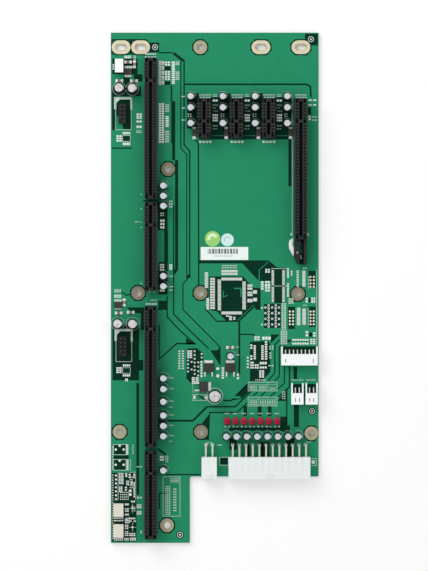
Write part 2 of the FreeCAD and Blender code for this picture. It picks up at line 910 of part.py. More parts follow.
def build_regulator(number, x, y, turns):
    """A surface-mounted tab regulator: bevelled moulded body, and a frame of tab and two leads."""
    body = new_body(f"regulator_{number}_body")
    height = size("regulator_height")
    half_depth = size("regulator_depth") / 2
    block = new_sketch(body)
    draw_centred_box(block, 0, 0, size("regulator_width"), size("regulator_depth"))
    pad(body, block, height)

    def is_top(edge):
        return edge.BoundBox.ZMin > height.number - TOUCH

    finish_edges(body, "Chamfer", is_top, "Size", size("regulator_bevel"))
    place(body, x, y, BOARD_TOP, turns)

    frame = new_body(f"regulator_{number}_frame")
    tab = new_sketch(frame)
    half_tab = size("regulator_tab_width") / 2
    draw_box(tab, -half_tab, half_depth, half_tab, half_depth + size("regulator_tab_reach"))
    pad(frame, tab, size("regulator_sheet"))
    profile = new_sketch(frame, "YZ_Plane", lift=size("regulator_lead_pitch"))
    sheet_metal = size("regulator_sheet")
    reach = half_depth + size("regulator_lead_reach")
    knee = (half_depth + reach) / 2
    rise = height / 2
    draw_outline(
        profile,
        (
            (-half_depth, rise),
            (-half_depth, rise + sheet_metal),
            (-knee, rise + sheet_metal),
            (-knee - sheet_metal, sheet_metal),
            (-reach, sheet_metal),
            (-reach, 0),
            (-knee, 0),
            (sheet_metal - knee, rise),
        ),
    )
    lead = pad(frame, profile, size("regulator_lead_width"), centred=True)
    mirror(frame, [lead], "YZ_Plane")
    place(frame, x, y, BOARD_TOP, turns)


def build_driver(name, x, y, turns):
    """An eight-lead driver chip and its leads."""
    body = new_body(f"{name}_driver_body")
    block = new_sketch(body)
    draw_centred_box(block, 0, 0, size("driver_width"), size("driver_depth"))
    pad(body, block, size("driver_height"))
    place(body, x, y, BOARD_TOP, turns)

    leads = new_body(f"{name}_driver_leads")
    feet = new_sketch(leads)
    middle = (size("driver_depth") + size("driver_lead_reach")) / 2
    for side in (-1, 1):
        for step in (-1.5, -0.5, 0.5, 1.5):
            draw_centred_box(
                feet,
                size("driver_lead_pitch") * step,
                middle * side,
                size("driver_lead_width"),
                size("driver_lead_reach"),
            )
    pad(leads, feet, size("driver_lead_height"))
    place(leads, x, y, BOARD_TOP, turns)


def build_tantalums():
    """Moulded tantalum capacitors, one beside each card slot, and their folded end terminals."""
    bodies = new_body("tantalum_capacitors")
    blocks = new_sketch(bodies)
    terminals = new_body("tantalum_terminals")
    ends = new_sketch(terminals)
    offset = (size("tantalum_length") + size("tantalum_end_length")) / 2
    for number in range(CARD_SLOT_COUNT):
        x = card_slot_x(number) - size("tantalum_aside")
        y = size("tantalum_row")
        draw_centred_box(blocks, x, y, size("tantalum_width"), size("tantalum_length"))
        for side in (-1, 1):
            draw_centred_box(
                ends, x, y + offset * side, size("tantalum_end_width"), size("tantalum_end_length")
            )
    pad(bodies, blocks, size("tantalum_height"))
    pad(terminals, ends, size("tantalum_end_height"))
    place(bodies, 0, 0, BOARD_TOP)
    place(terminals, 0, 0, BOARD_TOP)


def build_chips():
    """Ceramic chip capacitors round the drivers."""
    body = new_body("chip_capacitors")
    outlines = new_sketch(body)
    for x, y in FLAT_CHIP_PLACES:
        draw_centred_box(outlines, x, y, size("chip_length"), size("chip_width"))
    for x, y in UPRIGHT_CHIP_PLACES:
        draw_centred_box(outlines, x, y, size("chip_width"), size("chip_length"))
    pad(body, outlines, size("chip_height"))
    place(body, 0, 0, BOARD_TOP)


def build_stickers():
    """A paper label and two round stickers on the bare middle of the board."""
    label = document.addObject("Part::Box", "paper_label")
    bind(label, "Length", size("label_width"))
    bind(label, "Width", size("label_length"))
    bind(label, "Height", size("sticker_thickness"))
    low_x = size("label_x") - size("label_width") / 2
    low_y = size("label_y") - size("label_length") / 2
    place(label, low_x, low_y, BOARD_TOP)
    pieces.append(label)
    for name in ("green_sticker", "white_sticker"):
        disc = document.addObject("Part::Cylinder", name)
        bind(disc, "Radius", size(f"{name}_radius"))
        bind(disc, "Height", size("sticker_thickness"))
        place(disc, size(f"{name}_x"), size(f"{name}_y"), BOARD_TOP)
        pieces.append(disc)


def check_pieces():
    """Stop if any object failed or any piece has no valid solid."""
    document.recompute()
    for item in document.Objects:
        if "Invalid" in item.State or "Error" in item.State:
            raise RuntimeError(f"{item.Label} failed: {item.State}")
    for piece in pieces:
        if piece.Shape.isNull() or not piece.Shape.isValid() or not piece.Shape.Solids:
            raise RuntimeError(f"{piece.Label} has no valid solid")


def write_pieces():
    """Write each piece to a file of its own."""
    os.makedirs("parts", exist_ok=True)
    for piece in pieces:
        piece.Shape.exportStep(f"parts/{piece.Label}.step")


build_board()
for slot_row in slot_layout():
    slot_body = build_slot(*slot_row)
add_latch_seat(slot_body)
build_latch()
build_power_inlet("main_power", "main_power_columns", "main_power_middle")
build_power_inlet("side_power", "side_power_columns", "side_power_middle")
build_wafer(
    "wide_wafer", "wide_wafer_ways", "wide_wafer_width", "wide_wafer_arm", "wide_wafer_middle",
    "wide_wafer_front",
)
for wafer in ("left_wafer", "right_wafer"):
    build_wafer(
        wafer, "narrow_wafer_ways", "narrow_wafer_width", "narrow_wafer_arm", f"{wafer}_middle",
        "narrow_wafer_front",
    )
for edge in ("upper_edge", "lower_edge"):
    build_edge_connector(edge, "edge_width", "edge_depth", f"{edge}_middle", "edge_front")
build_edge_connector("corner", "corner_width", "corner_depth", "corner_middle", "corner_front")
build_header("upper_header", "upper_header_x", "upper_header_y")
build_header("lower_header", "lower_header_x", "lower_header_y")
build_capacitors()
build_lamps()
for index, (reg_x, reg_y, reg_turns) in enumerate(REGULATOR_PLACES, start=1):
    build_regulator(index, reg_x, reg_y, reg_turns)
for driver in DRIVER_PLACES:
    build_driver(*driver)
build_tantalums()
build_chips()
build_stickers()
check_pieces()
write_pieces()
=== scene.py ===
import math

import bmesh
import bpy
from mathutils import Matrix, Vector


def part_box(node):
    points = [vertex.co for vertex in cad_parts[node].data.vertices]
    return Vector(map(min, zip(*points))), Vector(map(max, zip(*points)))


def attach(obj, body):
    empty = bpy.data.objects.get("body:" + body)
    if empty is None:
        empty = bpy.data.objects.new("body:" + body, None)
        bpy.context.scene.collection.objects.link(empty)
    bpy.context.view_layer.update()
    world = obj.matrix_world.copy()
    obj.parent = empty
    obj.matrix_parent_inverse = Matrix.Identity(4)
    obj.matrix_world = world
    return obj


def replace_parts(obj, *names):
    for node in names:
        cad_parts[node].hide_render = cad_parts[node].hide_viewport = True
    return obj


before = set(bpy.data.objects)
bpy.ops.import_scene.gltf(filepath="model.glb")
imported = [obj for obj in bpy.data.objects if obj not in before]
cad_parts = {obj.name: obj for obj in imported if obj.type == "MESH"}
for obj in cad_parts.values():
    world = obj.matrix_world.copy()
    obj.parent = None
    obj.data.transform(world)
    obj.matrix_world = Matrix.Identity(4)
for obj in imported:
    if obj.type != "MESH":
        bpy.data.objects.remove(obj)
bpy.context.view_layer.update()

bl_info = {
    "name": "Slot backplane",
    "version": (1, 0, 0),
    "blender": (4, 5, 0),
    "location": "3D Viewport > Sidebar > Backplane",
    "description": "Finishes, board artwork, contacts and small parts of a card-slot backplane",
    "category": "Object",
}

MM = 0.001

# The board artwork is drawn on a layout grid. Columns count to the right and rows count down the board,
# and those of GRID_ORIGIN cross at the frame's origin.
GRID_STEP = 0.6325 * MM
GRID_ORIGIN = (214.75, 287.75)

# Upper and lower face of the board, and how far copper and mask reach towards its long edges.
BOARD_TOP = 3.0 * MM
BOARD_BASE = 1.4 * MM
COPPER_HALF = 65.65 * MM

# Radius left open in the middle of a solid that is swept round its own axis.
AXIS = 0.02 * MM
# Start, stop (degrees) and steps of a sweep whose eight flats lie square to the board.
OCTAGON = (22.5, 382.5, 8)

# Card-edge slots: centre and upper end (mm), and how many contacts stand below the key.
SLOT_TOP = 14.25 * MM
SLOT_HALF = 3.75 * MM
SLOT_PITCH = 1.0 * MM
LONG, MEDIUM, SHORT = 71, 38, 7
HOST_SLOTS = [(-40.4, upper, below) for upper, below in
              ((145.1, LONG), (54.1, MEDIUM), (-11.5, LONG), (-102.5, MEDIUM))]
CARD_SLOTS = [(-6.7 + 20.32 * n, 119.45, below) for n, below in enumerate((SHORT, SHORT, SHORT, LONG))]
SLOTS = HOST_SLOTS + CARD_SLOTS
# First contact from a slot's upper end (mm), contacts above the key, and first contact below it (mm).
FIRST_CONTACT = 3.0
ABOVE_KEY = 11
BELOW_KEY = 16.0
# Nose of a spring contact: offset from the channel's wall and height from the slot's top (mm).
SPRING_BOW = ((0.1, -2.6), (-0.12, -3.2), (-0.34, -4.2), (-0.3, -4.9), (0.1, -6.4))
# How far the ribs end below the slot's top, between the chambers and on the sides.
RIB_DROP = 0.08 * MM
SIDE_RIB_DROP = 0.4 * MM
# Pale strips of painted highlight on the lead-in's chamfer along the card channel, from a slot's upper end
# (mm): their start, the gap at the key, the key's own crest and the run past the last contact. Then their
# distance from the channel's wall and their height.
LEAD_START = 1.95
KEY_GAP = (13.6, 15.4)
KEY_CREST = (13.9, 15.1)
LEAD_OVERRUN = 0.6
LEAD_SETBACK = 0.35 * MM
LEAD_RISE = 0.02 * MM
# Staggered rows of tails under a slot: contacts before the first tail, and distance from the middle (mm).
TAIL_ROWS = ((0, 1.25), (1, 3.25))

# Power inlets: middle (mm) and columns of each, their two rows and their pitch (mm), and how much wider
# than a slot's their joints are.
POWER_INLETS = ((34.5, 12), (-3.5, 2))
POWER_ROWS = (-105.3, -99.9)
POWER_PITCH = 4.2
POWER_JOINT = (2.2, 2.2, 1)

# Electrolytic cans: radius, height, places and width of the printed circle (mm).
HOST_CAN_ROWS = (64.4, 57.9, 51.6, 7.4, 0.9, -57.1, -63.9, -71.8, -80.5, -87.1, -93.6, -115.2)
SLOT_CAN_ROWS = (120.8, 113.7, 103.8)
SLOT_CAN_SETBACK = 8.6
SMALL_CANS = (
    [(x - SLOT_CAN_SETBACK, y) for x, _, _ in CARD_SLOTS for y in SLOT_CAN_ROWS]
    + [(-32.5, y) for y in HOST_CAN_ROWS]
    + [(7.2 + 6.5 * column, -93.8) for column in range(8)]
    + [(9.8, -43.2)]
)
LARGE_CANS = [(-60.5, 126.1), (-52.2, 125.9), (-61.4, -22.6), (-52.0, -22.8)]
BULK_CANS = [(0.0, -68.5)]
CANS = ((2.5, 11.0, SMALL_CANS, 0.12), (3.15, 11.2, LARGE_CANS, 0.16), (4.0, 11.5, BULK_CANS, 0.26))
# Cans up to the small radius show only an arc (degrees) of the printed circle, which stands off by a
# margin (mm). Cans past the scored radius have a cross-shaped vent.
SMALL_RADIUS = 2.5
SMALL_ARC = (10.0, 115.0)
CIRCLE_MARGIN = 0.95
SCORED_RADIUS = 3.5
# A can's sleeve: its gap over the board, and the start, depth and half length of its groove. Then the curl
# over its top, as offsets (mm) from the outer edge and from the lip.
CAN_GAP = 0.05 * MM
GROOVE_START = 1.6 * MM
GROOVE_DEPTH = 0.22 * MM
GROOVE_HALF = 0.4 * MM
CURL_EDGE = ((0.0, -0.35), (-0.1, -0.12), (-0.28, 0.0))
CURL_LIP = ((0.1, 0.0), (0.0, -0.12))
# Polarity stripe: half its angle (degrees), how far above the groove it starts, and how deep it lies in
# the sleeve.
STRIPE_HALF = 24.0
STRIPE_START = 0.2 * MM
STRIPE_DEPTH = 0.1 * MM
# A can's metal top, measured down from the curl: its face and its base. Then half the width of the vent.
TOP_FACE = 0.14 * MM
TOP_BASE = 0.5 * MM
VENT_HALF = 0.05 * MM

# Indicator lamps (mm): their row, the first one's place, their pitch and number.
LAMP_ROW = -84.5
LAMP_START = 7.8
LAMP_PITCH = 5.27
LAMPS = 7
# A lens: its gap over the board, the collar as shares of half its width and its height, the share of its
# height where the dome starts, the dome's angles (degrees), and the cup as shares of half width and height.
LENS_GAP = 0.05 * MM
LENS_COLLAR = ((1.0, 0.2), (0.94, 0.25))
DOME_START = 0.62
DOME_ANGLES = (0, 20, 40, 60, 75, 88)
CUP = (0.42, 0.9)
# Printed labels of the lamps on the grid: left, top, right, bottom, marks across and down.
LAMP_STEP = LAMP_PITCH * MM / GRID_STEP
LAMP_LABELS = [(224.6 + n * LAMP_STEP, 412.9, 229.2 + n * LAMP_STEP, 414.4, 4, 1) for n in range(LAMPS)]

# Bars on the paper label: piece, finish, how many, widths in turn (mm), start and run as shares of the
# label's width, and top and bottom below its upper edge (mm).
LABEL_PRINT = (
    ("label_bars", "black_print", 20, (0.35, 0.7, 0.35, 0.9), (0.15, 0.63), (1.1, 4.3)),
    ("label_rule", "grey_print", 10, (0.5,), (0.29, 0.4), (5.2, 6.2)),
)
# Print on labels and stickers: its height, and start and stop of an arc (degrees).
LABEL_RISE = 0.01 * MM
STICKER_ARC = (20.0, 200.0)

# Shares of its cell that a mark or pad fills, across and down.
MARK_FILL = (0.7, 0.6)
FINE_FILL = (0.55, 0.5)
LABEL_FILL = (0.55, 0.7)
PAD_FILL = (0.78, 0.68)
DENSE_FILL = (0.92, 0.78)
# Hole of a through dot and of a filled one, as shares of the dot's radius.
OPEN_DOT = 0.42
FILLED_DOT = 0.02

# Plated mounting holes: piece and finish of the rings, radius and straight half length (mm), and places on
# the grid.
HOLES = (
    ("oval_rings", "plated_ring", 2.05, 1.6, ((121.0, 47.0), (140.5, 47.0), (261.0, 47.0), (301.0, 47.0))),
    ("round_rings", "dulled_ring", 2.1, 0.0,
     ((200.3, 47.0), (119.5, 432.0), (311.5, 433.5), (167.0, 525.5))),
    ("worn_rings", "worn_ring", 2.1, 0.0,
     ((168.0, 169.0), (138.0, 293.0), (200.5, 293.0), (298.0, 294.0), (201.0, 432.0))),
)
# Bare moat round a ring, as shares of the ring's radius.
MOAT = (0.8, 1.27)

# Round sighting targets on the grid, and their plated dot and ring (mm).
TARGETS = ((155, 47), (311, 39), (312.2, 411.2), (180, 535))
TARGET_RINGS = ((0.05, 0.55), (1.45, 1.8))

# Chip capacitors (mm): length, width and height, end cap, how far a pad runs past the end and the sides,
# and places with whether they lie along X.
CHIP_SIZE = (3.2, 1.6, 1.1)
CHIP_END = 0.6
CHIP_PAD = (0.8, 0.2)
CHIPS = (
    (-54.9, 142.9, True), (-60.4, 131.0, True), (-51.1, 130.9, True), (-60.8, -16.0, True),
    (-53.2, -15.6, True), (9.7, -37.8, True), (-50.8, 141.4, False), (-57.3, -9.3, False),
)
# Tantalum capacitors beside the card slots (mm): setback, row and top, half sizes of the bar on the top,
# where the pads start, half their width, and the side and length of each.
TANTALUM_SETBACK = 6.3
TANTALUM_ROW = 98.2
TANTALUM_TOP = 4.9
TANTALUM_BAR = (0.35, 1.1)
TANTALUM_END = 3.05
TANTALUM_PAD_HALF = 1.15
TANTALUM_PADS = ((-1, 0.9), (1, 0.6))

# Stage lamps (m): place, power in watts and width.
STAGE_LAMPS = {
    "key_lamp": ((-0.5, 0.55, 0.75), 6.4, 0.8),
    "right_lamp": ((0.8, 0.3, 1.1), 2.2, 0.9),
    "low_lamp": ((-0.1, -0.8, 1.1), 2.75, 0.9),
}
# Floor (m): half its width, its thickness, the share of its own glow, and the field under the board that
# has none, as middle and half size along each axis. Then the strength of the room's light.
FLOOR_HALF = 3.0
FLOOR_THICK = 0.01
FLOOR_GLOW = 0.4
FLOOR_SHADE = (("X", 0.0, 0.064), ("Y", 0.0225, 0.1375))
ROOM_LIGHT = 0.5
# Camera: place (m), lens and sensor (mm).
CAMERA_PLACE = (-0.47 * MM, 1.42 * MM, 2.205)
CAMERA_LENS = 219.3
CAMERA_SENSOR = 36.0

# Bare gaps between the copper pours, as centre lines on the grid with a width in steps.
GAP_LINES = (
    (1.1, ((184.1, 60), (184.1, 144.6), (189.7, 151), (189.7, 278))),
    (0.8, ((180.8, 61), (180.8, 148), (186.8, 154.5), (186.8, 279.7), (182.9, 284), (182.9, 309.5),
           (203.2, 330), (219.5, 346.3), (220.3, 365))),
    (1.0, ((159, 52.5), (172.4, 52.5))), (2.4, ((173.2, 52.7), (183.6, 60.8))),
    (1.4, ((184.4, 84.1), (307, 84.1), (310.5, 86.5), (311, 97))), (1.2, ((171.4, 84.8), (171.4, 101))),
    (2.8, ((173.6, 143), (173.6, 160))), (2.8, ((176.6, 160), (176.6, 269), (174, 273.4))),
    (1.0, ((173.6, 205), (173.6, 314), (189.2, 330), (208.9, 348.9))),
    (1.1, ((195.3, 139.6), (198.4, 142.8), (198.7, 286))), (1.0, ((112, 148), (131.7, 148))),
    (1.0, ((167.1, 296), (167.1, 316.8), (179.4, 330), (195.5, 344.3))),
    (0.9, ((121.5, 291.7), (126, 295.2), (131, 294))),
    (1.0, ((205, 308.6), (216.6, 321.3), (239.3, 321.3))),
    (1.6, ((254, 306.4), (239.3, 320.6), (239.3, 375.6))),
    (1.2, ((159, 325), (159, 359.4), (176.6, 343.6), (196, 343.9))),
    (1.0, ((239.3, 334.4), (253.3, 334.4), (254.8, 337.5))),
    (0.9, ((280, 339.6), (274.9, 344.6), (274.9, 373), (268, 381.2))),
    (0.9, ((281.5, 345.5), (279.3, 347), (279.3, 376.4), (274.6, 381.5))),
    (0.9, ((284.5, 366), (284.5, 383.4), (277, 389.6))),
    (1.1, ((289.6, 366), (289.6, 386.8), (278.5, 397))),
    (1.2, ((223.6, 400.6), (231.3, 400.6), (248, 383.7))),
    (1.2, ((206.8, 406.9), (235.4, 406.8), (251.4, 391))),
    (1.0, ((208.9, 412.7), (237, 412.5), (248, 402.5))), (0.9, ((253.3, 396), (258, 391.5))),
    (0.9, ((260.6, 396.3), (266, 391.4))), (0.9, ((270, 397), (276, 391.5))),
    (1.0, ((286.8, 389), (286.8, 430))), (1.7, ((158, 420.8), (192.9, 420.8), (206.8, 407))),
    (1.8, ((157.8, 448.9), (166.2, 455.2))), (1.0, ((166, 474.7), (200.5, 474.7))),
    (1.0, ((168.5, 493.5), (159.3, 493.5), (159.3, 509))), (2.4, ((137.7, 383), (137.7, 495))),
    (1.2, ((198, 395), (205, 400))),
)

# Bare fields of laminate: left, top, right and bottom on the grid. One also stands for painted shadow.
BARE_AND_SHADOW_FIELDS = (
    (111.2, 38.9, 146, 40.4), (111.2, 53.6, 146, 54.3), (111.2, 40.4, 112.6, 53.6),
    (129.4, 40.4, 132, 53.6), (149.9, 42.4, 159, 52.2), (305, 33.5, 318, 45.2), (112.3, 58.3, 137.5, 74),
    (112, 86, 141, 96), (123, 77, 129.7, 86), (187, 93, 199, 128.5), (219.4, 93, 230.8, 97),
    (251.5, 93, 262.9, 97), (283.6, 93, 291.5, 97), (164.4, 66, 170.4, 70.2), (164.4, 81.2, 170.4, 84.8),
    (307.6, 107.2, 311.2, 114.6), (171.2, 101, 175.2, 143), (134.1, 74, 142.5, 81.3), (112, 96, 116, 130),
    (143, 200.2, 158, 201.6), (199, 97, 291.5, 139.3), (288.5, 139.3, 291.8, 186),
    (199, 260.3, 268.7, 263.4), (164.2, 230, 168, 262), (157.4, 202, 167.6, 230),
    (158.4, 262, 167.6, 294.5), (158.3, 300.8, 167.5, 310), (140.8, 313.4, 144.3, 330),
    (112.4, 325, 139, 380.4), (139, 360, 143.2, 370.6), (293.6, 366.8, 297.3, 379.3),
    (243.7, 406, 247, 416), (257.7, 406, 261.7, 416), (268, 406, 271.6, 416), (294, 404, 299, 427),
    (280.4, 416.7, 287, 425.6), (271, 269, 285.4, 303), (259.8, 268, 271, 281), (264, 304, 280.8, 328),
    (308.6, 270.6, 315.8, 288), (288.2, 306.6, 295, 329), (308.6, 306.6, 315.6, 327),
    (220.3, 458, 227.8, 464.7), (229, 427.4, 280.4, 431), (280.4, 425.6, 290, 431.6),
    (229.4, 438, 236.6, 450), (246, 445, 250, 456.6), (258.6, 442, 269, 456.6), (286, 438, 294.4, 456.6),
    (113.8, 445, 125.7, 454.5), (113.8, 460, 125.7, 470), (113.7, 455.4, 128.7, 459.2),
    (112, 472.8, 136.4, 541.8), (283, 346.4, 316, 354.2), (292.6, 384, 302.6, 392.8),
    # The field from 299.5 to 304 fills the gap between the latch and the long slot's wall with painted
    # shadow.
    (306.4, 384, 316, 392.8), (299.5, 238.6, 304, 264.4), (285.4, 339.8, 291, 342.4),
    (309, 332.6, 312.4, 336.8), (308.6, 298, 310.8, 302.4), (122.4, 135.2, 130.4, 141.4),
)

# Gaps that meet are laid at this many heights.
GAP_STEPS = 6

# Bare corners and wedges with slanted sides, on the grid.
BARE_AND_SHADOW_WEDGES = (
    ((242, 263.4), (268.7, 263.4), (262, 268), (259.6, 270.6), (259, 281.5), (257.8, 279.8)),
    ((268.7, 260.4), (270.6, 262), (277.4, 267.4), (286.6, 267.6), (286.6, 269), (262.4, 268)),
    ((126, 307.4), (144.3, 307.4), (144.3, 313.4), (138.7, 313.4), (133, 312.7)),
    ((209, 276.4), (243.6, 276.4), (247, 281), (253.4, 287.6), (260.6, 288), (260.6, 309.8), (256, 309.8),
     (253.4, 304.8), (238, 319.6), (236.4, 321.4), (225.6, 321.4), (224.8, 319.4), (216.6, 311.4),
     (209, 309.8)),
    ((186, 337.6), (195.5, 344.6), (186, 344.6)),
    ((210, 350.3), (217.3, 350.3), (220.6, 347), (220.6, 366)),
    # Inside the upper header's frame: bare laminate, and the header's painted shadow on its right.
    ((116.5, 103), (119.9, 99.5), (130.3, 99.5), (131, 129), (123, 129), (122, 117), (116.5, 116)),
    ((270.9, 343.3), (279.7, 334.5), (270.9, 334.5)),
    ((250, 342), (268.6, 341), (270.4, 345), (270.4, 372), (262, 381.4), (250, 381.4)),
    ((186.4, 350.4), (188, 348.4), (197, 348.2), (203.2, 353.4), (203.2, 360), (199.6, 362), (199.6, 378),
     (192.2, 384.4), (186.4, 378.6)),
    ((247.4, 383.7), (250, 391), (241.5, 399), (232, 400.6)), ((277.5, 401), (287, 389), (287, 401)),
    ((201.5, 424.2), (210.3, 412.7), (208.9, 440), (204.6, 440), (205.2, 432), (203.8, 428.2)),
    ((186.4, 275), (189.7, 275), (189.7, 277), (186.8, 280)),
)

# Copper traces that cross bare laminate under the mask.
TRACE_LINES = (
    (6.4, ((241, 266.5), (256, 283.5))), (0.8, ((268.7, 261.7), (259.2, 269.8), (259, 286), (257, 288))),
    (2.2, ((231.5, 397.4), (240.6, 397.4))), (0.5, ((211.6, 135.6), (291.5, 135.6))),
    (2.6, ((301.1, 244), (301.1, 253.6))), (1.2, ((234, 288.4), (241, 288.4), (241, 297))),
    (0.9, ((223.4, 291), (223.4, 297), (227.6, 295.4))), (2.6, ((140.6, 330), (140.6, 360))),
)

# Printed lines on the grid.
INK_LINES = (
    ((292.3, 95), (292.3, 236)), ((316.8, 270), (316.8, 345)), ((271.3, 268.4), (286.6, 268.4)),
    ((264, 286), (287, 286)), ((149.4, 290.8), (149.4, 293.2)), ((154, 290.8), (154, 293.2)),
    ((192.2, 394.8), (208.8, 394.8), (208.8, 396)), ((192.2, 399.2), (192.2, 400.4), (208.8, 400.4)),
    ((118, 472.8), (118, 500.5)), ((135.7, 474), (135.7, 500)), ((129.4, 472.4), (136, 472.4)),
    ((132.5, 503.8), (132.5, 506.4)), ((132.5, 510.6), (132.5, 513.2)), ((129.2, 508.5), (130.6, 508.5)),
    ((134.4, 508.5), (135.8, 508.5)), ((132.5, 522.8), (132.5, 525.4)), ((132.5, 529.6), (132.5, 532)),
    ((129.2, 527.5), (130.6, 527.5)), ((134.4, 527.5), (135.8, 527.5)), ((308.4, 308), (308.4, 326)),
    ((308.4, 276), (308.4, 289)),
)

# Fine printed lines on the grid, worn thin.
FINE_LINES = (
    ((211, 382), (211, 392), (192.6, 392), (192.6, 383)), ((249, 384.6), (276.4, 384.6)),
    ((268, 387.4), (276.4, 387.4)), ((268, 382.4), (268, 390.8)), ((249, 399.6), (276.4, 399.6)),
    ((258.2, 397.6), (258.2, 405.8)),
)

# Printed frames on the grid: left, top, right, bottom.
INK_FRAMES = (
    (115.4, 97, 131.2, 129.6), (115.9, 329, 131.7, 361.7), (122.6, 135.4, 130.2, 141.2),
    (122.6, 367.8, 130.2, 373.4), (248.2, 382.2, 277.1, 391), (248.2, 397.3, 277.1, 406),
    (163, 477, 180, 516.4), (219.6, 457.4, 228.5, 465.4), (309.8, 458.8, 316.4, 465.6),
    (113.4, 444.6, 126, 454.9), (113.4, 459.6, 126, 470.4),
)

# Thick printed shapes on the grid: the notched corner frames of the two headers and small spots.
INK_SHAPES = (
    ((114, 96.9), (132, 96.9), (132, 109.5), (130.3, 109.5), (130.3, 99.2), (119.7, 99.2), (116.2, 102.7),
     (116.2, 109), (114, 109)),
    ((114.5, 329), (132.5, 329), (132.5, 341.6), (130.8, 341.6), (130.8, 331.3), (120.2, 331.3),
     (116.7, 334.8), (116.7, 341), (114.5, 341)),
    ((300, 254.8), (301.4, 255.2), (302.2, 259), (300.4, 258.8)),
    ((290.6, 233), (291.8, 233), (291.8, 235.6), (290.6, 235.6)),
    ((307.6, 233), (308.8, 233), (308.8, 235.6), (307.6, 235.6)),
    ((312, 460.4), (314.6, 460.4), (315, 462.2), (314.6, 464), (312, 464), (311.4, 462.2)),
)

# White crescent that the latch's tab covers in part, on the grid. It is printed brighter than the rest of
# the print, as painted light where the latch shades it.
CRESCENT = (
    (292.9, 238), (289.6, 240.3), (288.8, 243.9), (289.2, 248.5), (291.3, 252.5), (293.4, 256.4),
    (294, 251.6), (293.6, 247.5), (292.5, 244.8), (292.9, 241.2),
)

# Fields of small printed marks: left, top, right, bottom on the grid, marks across and down.
INK_MARKS = (
    (175.5, 61, 179.4, 65, 5, 3), (175.5, 71, 179.4, 80, 5, 5), (165, 104, 169.2, 112, 4, 5),
    (165, 130.3, 169.2, 142.5, 4, 7), (136.2, 130, 141.5, 133, 5, 2), (199.4, 96.3, 210.8, 98.2, 4, 1),
    (231.6, 96.3, 242.8, 98.2, 4, 1), (263.6, 96.3, 274.8, 98.2, 4, 1), (295.4, 96.3, 306.8, 98.2, 5, 1),
    (212.6, 104, 218, 106.2, 4, 1), (244.7, 104, 250.1, 106.2, 4, 1), (276.8, 104, 282.2, 106.2, 4, 1),
    (181, 95.6, 185.4, 97, 1, 1), (181, 107.2, 185.4, 108.6, 1, 1), (181, 119.2, 185.4, 120.6, 1, 1),
    (308, 98.8, 317, 101.2, 2, 1), (308, 103.6, 317, 106, 2, 1), (311.8, 116, 317, 117.6, 2, 1),
    (311.8, 119.2, 317, 120.8, 2, 1), (144.8, 52.6, 156.2, 55, 7, 1), (144.4, 55.9, 156.6, 58, 4, 1),
    (133.4, 55.2, 135.8, 60, 2, 3), (169, 200, 172.6, 208, 2, 3), (160, 212, 164.2, 216.4, 2, 2),
    (168.8, 275.6, 173, 277, 2, 1), (168.8, 285.8, 173.4, 287.4, 2, 1), (168.8, 289.4, 172.8, 291, 2, 1),
    (145.4, 302.6, 157, 305.4, 4, 1), (114, 289, 121, 292.6, 5, 2), (296.2, 270.2, 299.4, 286.8, 1, 10),
    (281.4, 303, 286.4, 330, 2, 16), (280.6, 330.4, 287.4, 344.6, 4, 8), (136.6, 466, 142, 467.8, 3, 1),
    (198.6, 140, 212, 143.4, 4, 1), (230.2, 140, 244, 143.4, 4, 1), (262, 140, 275.8, 143.4, 4, 1),
    (290.4, 270.4, 293, 276, 1, 3), (288.4, 298, 293.6, 304, 3, 3), (206, 442.4, 212.6, 443.6, 2, 1),
)

